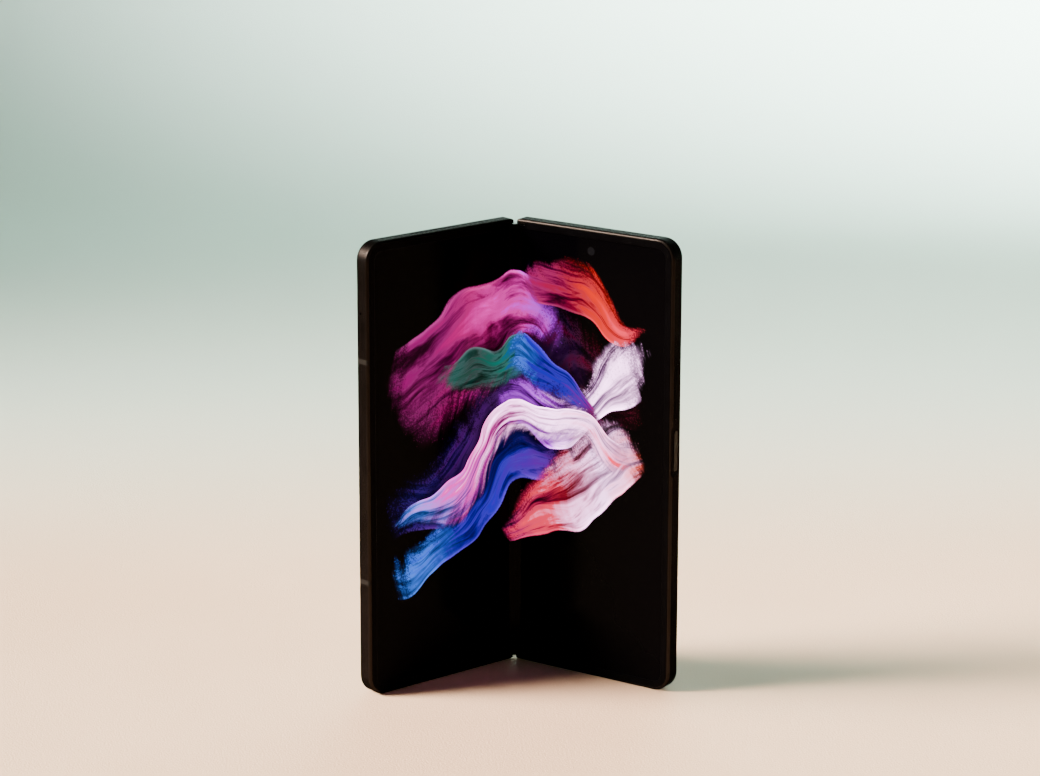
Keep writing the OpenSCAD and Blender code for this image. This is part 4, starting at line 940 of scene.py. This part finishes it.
# Turns a profile of (radius, depth, finish) about a line through (u, h) of the right half
def turnedPiece(name, u, h, profile, finishList, ring=False):
    n, rows = lens["segments"], len(profile)
    around = [2 * math.pi * k / n for k in range(n)]
    verts, faces, marks = [], [], []
    for r, depth, _ in profile:
        verts += [(u + r * math.cos(a), h + r * math.sin(a), -depth) for a in around]
    for i in range(rows if ring else rows - 1):
        for k in range(n):
            a, b, c, d = i * n + k, i * n + (k + 1) % n, (i + 1) % rows * n, (k + 1) % n
            faces.append((a, b, c + d, c + k))
            marks.append(profile[i][2])
    if not ring:
        faces += [tuple(range(n))[::-1], tuple((rows - 1) * n + k for k in range(n))]
        marks += [profile[0][2], profile[-1][2]]
    mesh = newMesh(name, verts, faces)
    mesh.transform(halfPlan(1))
    for finishName in finishList:
        mesh.materials.append(materials[finishName])
    for poly, mark in zip(mesh.polygons, marks):
        poly.material_index = mark
    fixNormals(mesh)
    shadeSmooth(mesh, 30)
    return addToScene(name, mesh)


# A barrel with a stepped mouth and a domed front lens
def barrelProfile(c):
    radius, top, dome, floor = c["radius"], c["top"], c["dome"], c["top"] - c["depth"]
    chamfer, step, n = lens["chamfer"], lens["mouthStep"], lens["domeRows"]
    wide, lip, neck, rim = (dome + past for past in lens["mouth"])
    rows = [(radius, c["foot"], 0), (radius, top - chamfer, 0), (radius - chamfer, top, 0),
            (wide, top, 0), (lip, top - step, 0), (neck, floor + step, 0), (rim, floor, 0),
            (dome, floor, 1)]
    for i in range(1, n + 1):
        turn = math.pi / 2 * (1 - i / n)
        rows.append((max(lens["tip"], dome * math.sin(turn)), floor + c["bulge"] * math.cos(turn), 1))
    return rows


# A window with a black printed rim and a clear middle
def windowProfile(radius, clear):
    front, back, edge, tip = (lens[k] for k in ("windowFront", "windowBack", "windowEdge", "tip"))
    return [(tip, front, 0), (clear, front, 1), (radius, front, 1), (radius, back - edge, 1),
            (radius - edge, back, 1), (clear, back, 0), (tip, back, 0)]


# A square block behind the lenses, between two depths of the right half
def boxPiece(name, h, half, depths, material):
    u = lens["u"]
    verts = [(a, b, -d) for d in depths for b in (h - half, h + half) for a in (u - half, u + half)]
    faces = [(0, 1, 3, 2), (4, 6, 7, 5), (0, 4, 5, 1), (1, 5, 7, 3), (3, 7, 6, 2), (2, 6, 4, 0)]
    obj = addObject(name, verts, faces, materials[material])
    obj.data.transform(halfPlan(1))
    fixNormals(obj.data)
    return obj


def makeCameras():
    u = lens["u"]
    for name in ("ultrawide", "tele"):
        c = lens[name]
        obj = turnedPiece(name + "Barrel", u, c["h"], barrelProfile(c), ("camera_black", "lens_coat"))
        dress(obj, "right_half")
        obj = boxPiece(name + "Housing", c["h"], lens["module"] / 2, lens["moduleDepths"], "camera_black")
        dress(obj, "right_half", "camera_" + name)
    clear = windowProfile(lens["windowRadius"], lens["clearRadius"])
    for i, h in enumerate(lens["heights"]):
        obj = turnedPiece(f"cameraWindow{i + 1}", u, h, clear, ("window_clear", "window_glass"))
        dress(obj, "right_half", None if i else "camera_windows")
    flash = windowProfile(lens["flashRadius"], lens["flashRadius"] - lens["flashRim"])
    obj = turnedPiece("flashWindow", u, lens["flashHeight"], flash, ("flash_lens", "window_glass"))
    dress(obj, "right_half")
    obj = boxPiece("flashLamp", lens["flashHeight"], lens["led"] / 2,
                   (lens["ledDepth"], lens["windowFront"] - lens["ledGap"]), "led_yellow")
    dress(obj, "right_half")
    c = lens["main"]
    obj = turnedPiece("mainBarrel", u, c["h"], barrelProfile(c), ("lens_plastic", "lens_coat"))
    dress(obj, "focus_barrel", "focus_barrel")


def makeFerrite():
    (inner, outer), (front, back) = winding["sheet"], winding["sheetDepths"]
    profile = [(inner, front, 0), (outer, front, 0), (outer, back, 0), (inner, back, 0)]
    obj = turnedPiece("ferriteSheet", winding["u"], winding["h"], profile, ("ferrite_grey",), ring=True)
    dress(obj, "right_half")


coverGlass = {
    "panel": (9.7, 60.15), "panelHeight": (3.2, 155.0), "black": (0.0012, 0.0012, 0.0014),
    "display": (0.0042, 0.0042, 0.0058), "camera": (35.25, 149.4), "cameraEdge": 0.04,
    "slot": (35.25, 156.3), "slotSize": (7.0, 0.35), "slotColour": (0.03, 0.03, 0.032),
    "slotRough": 0.5, "edge": 0.08, "specular": 0.22, "rough": (0.05, 0.12),
    "rings": ((1.75, (0.0012, 0.0012, 0.0014)), (1.05, (0.012, 0.013, 0.022)),
              (1.05 * 0.45, (0.001, 0.001, 0.002))),
}


# Gloss black glass: a display behind it, a small camera near the top and a slit for the earpiece
def coverGlassMaterial():
    s = coverGlass
    mat, t, shader, place = newMaterial("coverGlass")
    plan = halfPlan(-1)
    away = t.out("ShaderNodeVectorMath", {0: place, 1: tuple(plan.translation)}, operation="SUBTRACT")
    across = t.node("ShaderNodeVectorMath", {0: away, 1: tuple(plan.col[0].xyz)},
                    operation="DOT_PRODUCT")
    u = t.mul(across.outputs["Value"], 1 / mm)
    h = t.mul(t.separated(place)[2], 1 / mm)

    def inside(value, low, high):
        return t.mul(t.ramp(value, low - s["edge"], low), t.ramp(value, high + s["edge"], high))

    display = t.mul(inside(u, *s["panel"]), inside(h, *s["panelHeight"]))
    colour = t.mix(display, s["black"], s["display"])
    away = t.reach(*(t.minus(v, c) for v, c in zip((u, h), s["camera"])))
    for radius, ink in s["rings"]:
        colour = t.mix(t.ramp(away, radius + s["cameraEdge"], radius - s["cameraEdge"]), colour, ink)
    (midU, midH), (wide, tall) = s["slot"], s["slotSize"]
    slot = t.mul(inside(u, midU - wide / 2, midU + wide / 2), inside(h, midH - tall / 2, midH + tall / 2))
    smear = t.ramp(t.noise(place, 25.0, 4.0), 0.35, 0.75, *s["rough"])
    t.feed(shader, {
        "Base Color": t.mix(slot, colour, s["slotColour"]), "Specular IOR Level": s["specular"],
        "Roughness": t.add(smear, t.mul(slot, s["slotRough"]))})
    return mat


makeCameras()
makeFerrite()
frame["nodes"]["cover_glass"].data.materials[0] = coverGlassMaterial()
print("stage: cameras and cover glass")

# lengths in metres from here on
studio = {
    "floor": ((0.80, 0.53, 0.35), (0.74, 0.48, 0.31)), "far": (0.66, 0.80, 0.72),
    "farFrom": 0.08, "farTo": 0.45, "wallStart": 0.75, "wallRadius": 0.5, "wallSteps": 16,
    "wallHeight": 1.0, "halfWidth": 4.0, "front": -6.0, "rough": 0.7, "grain": 1400.0,
    "world": (0.70, 0.92, 0.76), "worldStrength": 0.07,
}
lights = {
    "keyLight": dict(place=(-1.25, -0.05, 0.85), aim=(0.26, -0.02, 0.0), size=(0.85, 0.85), power=18,
                     colour=(1.0, 0.88, 0.75), spread=32),
    "wallLight": dict(place=(0.6, 0.75, 1.2), aim=(0.8, 1.25, 0.15), size=(1.6, 0.3), power=85,
                      colour=(0.90, 1.0, 0.96), spread=70),
}


def makeStage():
    s = studio
    verts, faces = [], []
    start, radius, steps = s["wallStart"], s["wallRadius"], s["wallSteps"]
    line = [(s["front"], 0.0), (0.0, 0.0), (start, 0.0)]
    for i in range(1, steps + 1):
        a = math.pi / 2 * i / steps
        line.append((start + radius * math.sin(a), radius - radius * math.cos(a)))
    line.append((start + radius, s["wallHeight"]))
    for y, z in line:
        verts += [(side * s["halfWidth"] * 1000, y * 1000, z * 1000) for side in (-1, 1)]
    for i in range(len(line) - 1):
        faces.append((2 * i, 2 * i + 1, 2 * i + 3, 2 * i + 2))
    mat, t, shader, place = newMaterial("stagePaper")
    y = t.separated(place)[1]
    floor = t.mix(t.ramp(t.noise(place, 5.0), 0.3, 0.7), *s["floor"])
    t.feed(shader, {"Base Color": t.mix(t.ramp(y, s["farFrom"], s["farTo"]), floor, s["far"]),
                    "Roughness": s["rough"]})
    t.bump(shader, 0.35, 0.0006, t.noise(place, s["grain"], 3.0))
    addObject("stagePaper", verts, faces, mat, smooth=True)


def addLight(name, place, aim, size, power, colour, spread):
    data = bpy.data.lights.new(name, "AREA")
    data.shape, data.size, data.size_y = "RECTANGLE", *size
    data.energy, data.color, data.spread = power, colour, math.radians(spread)
    lamp = addToScene(name, data)
    lamp.location = place
    lamp.rotation_euler = (Vector(aim) - Vector(place)).to_track_quat("-Z", "Y").to_euler()


def makeWorld():
    world = bpy.data.worlds.new("softRoom")
    bpy.context.scene.world = world
    world.use_nodes = True
    Tree(world.node_tree).feed(world.node_tree.nodes["Background"],
                               {"Color": studio["world"], "Strength": studio["worldStrength"]})


makeStage()
makeWorld()
for name, lamp in lights.items():
    addLight(name, **lamp)
print("stage: floor and light")
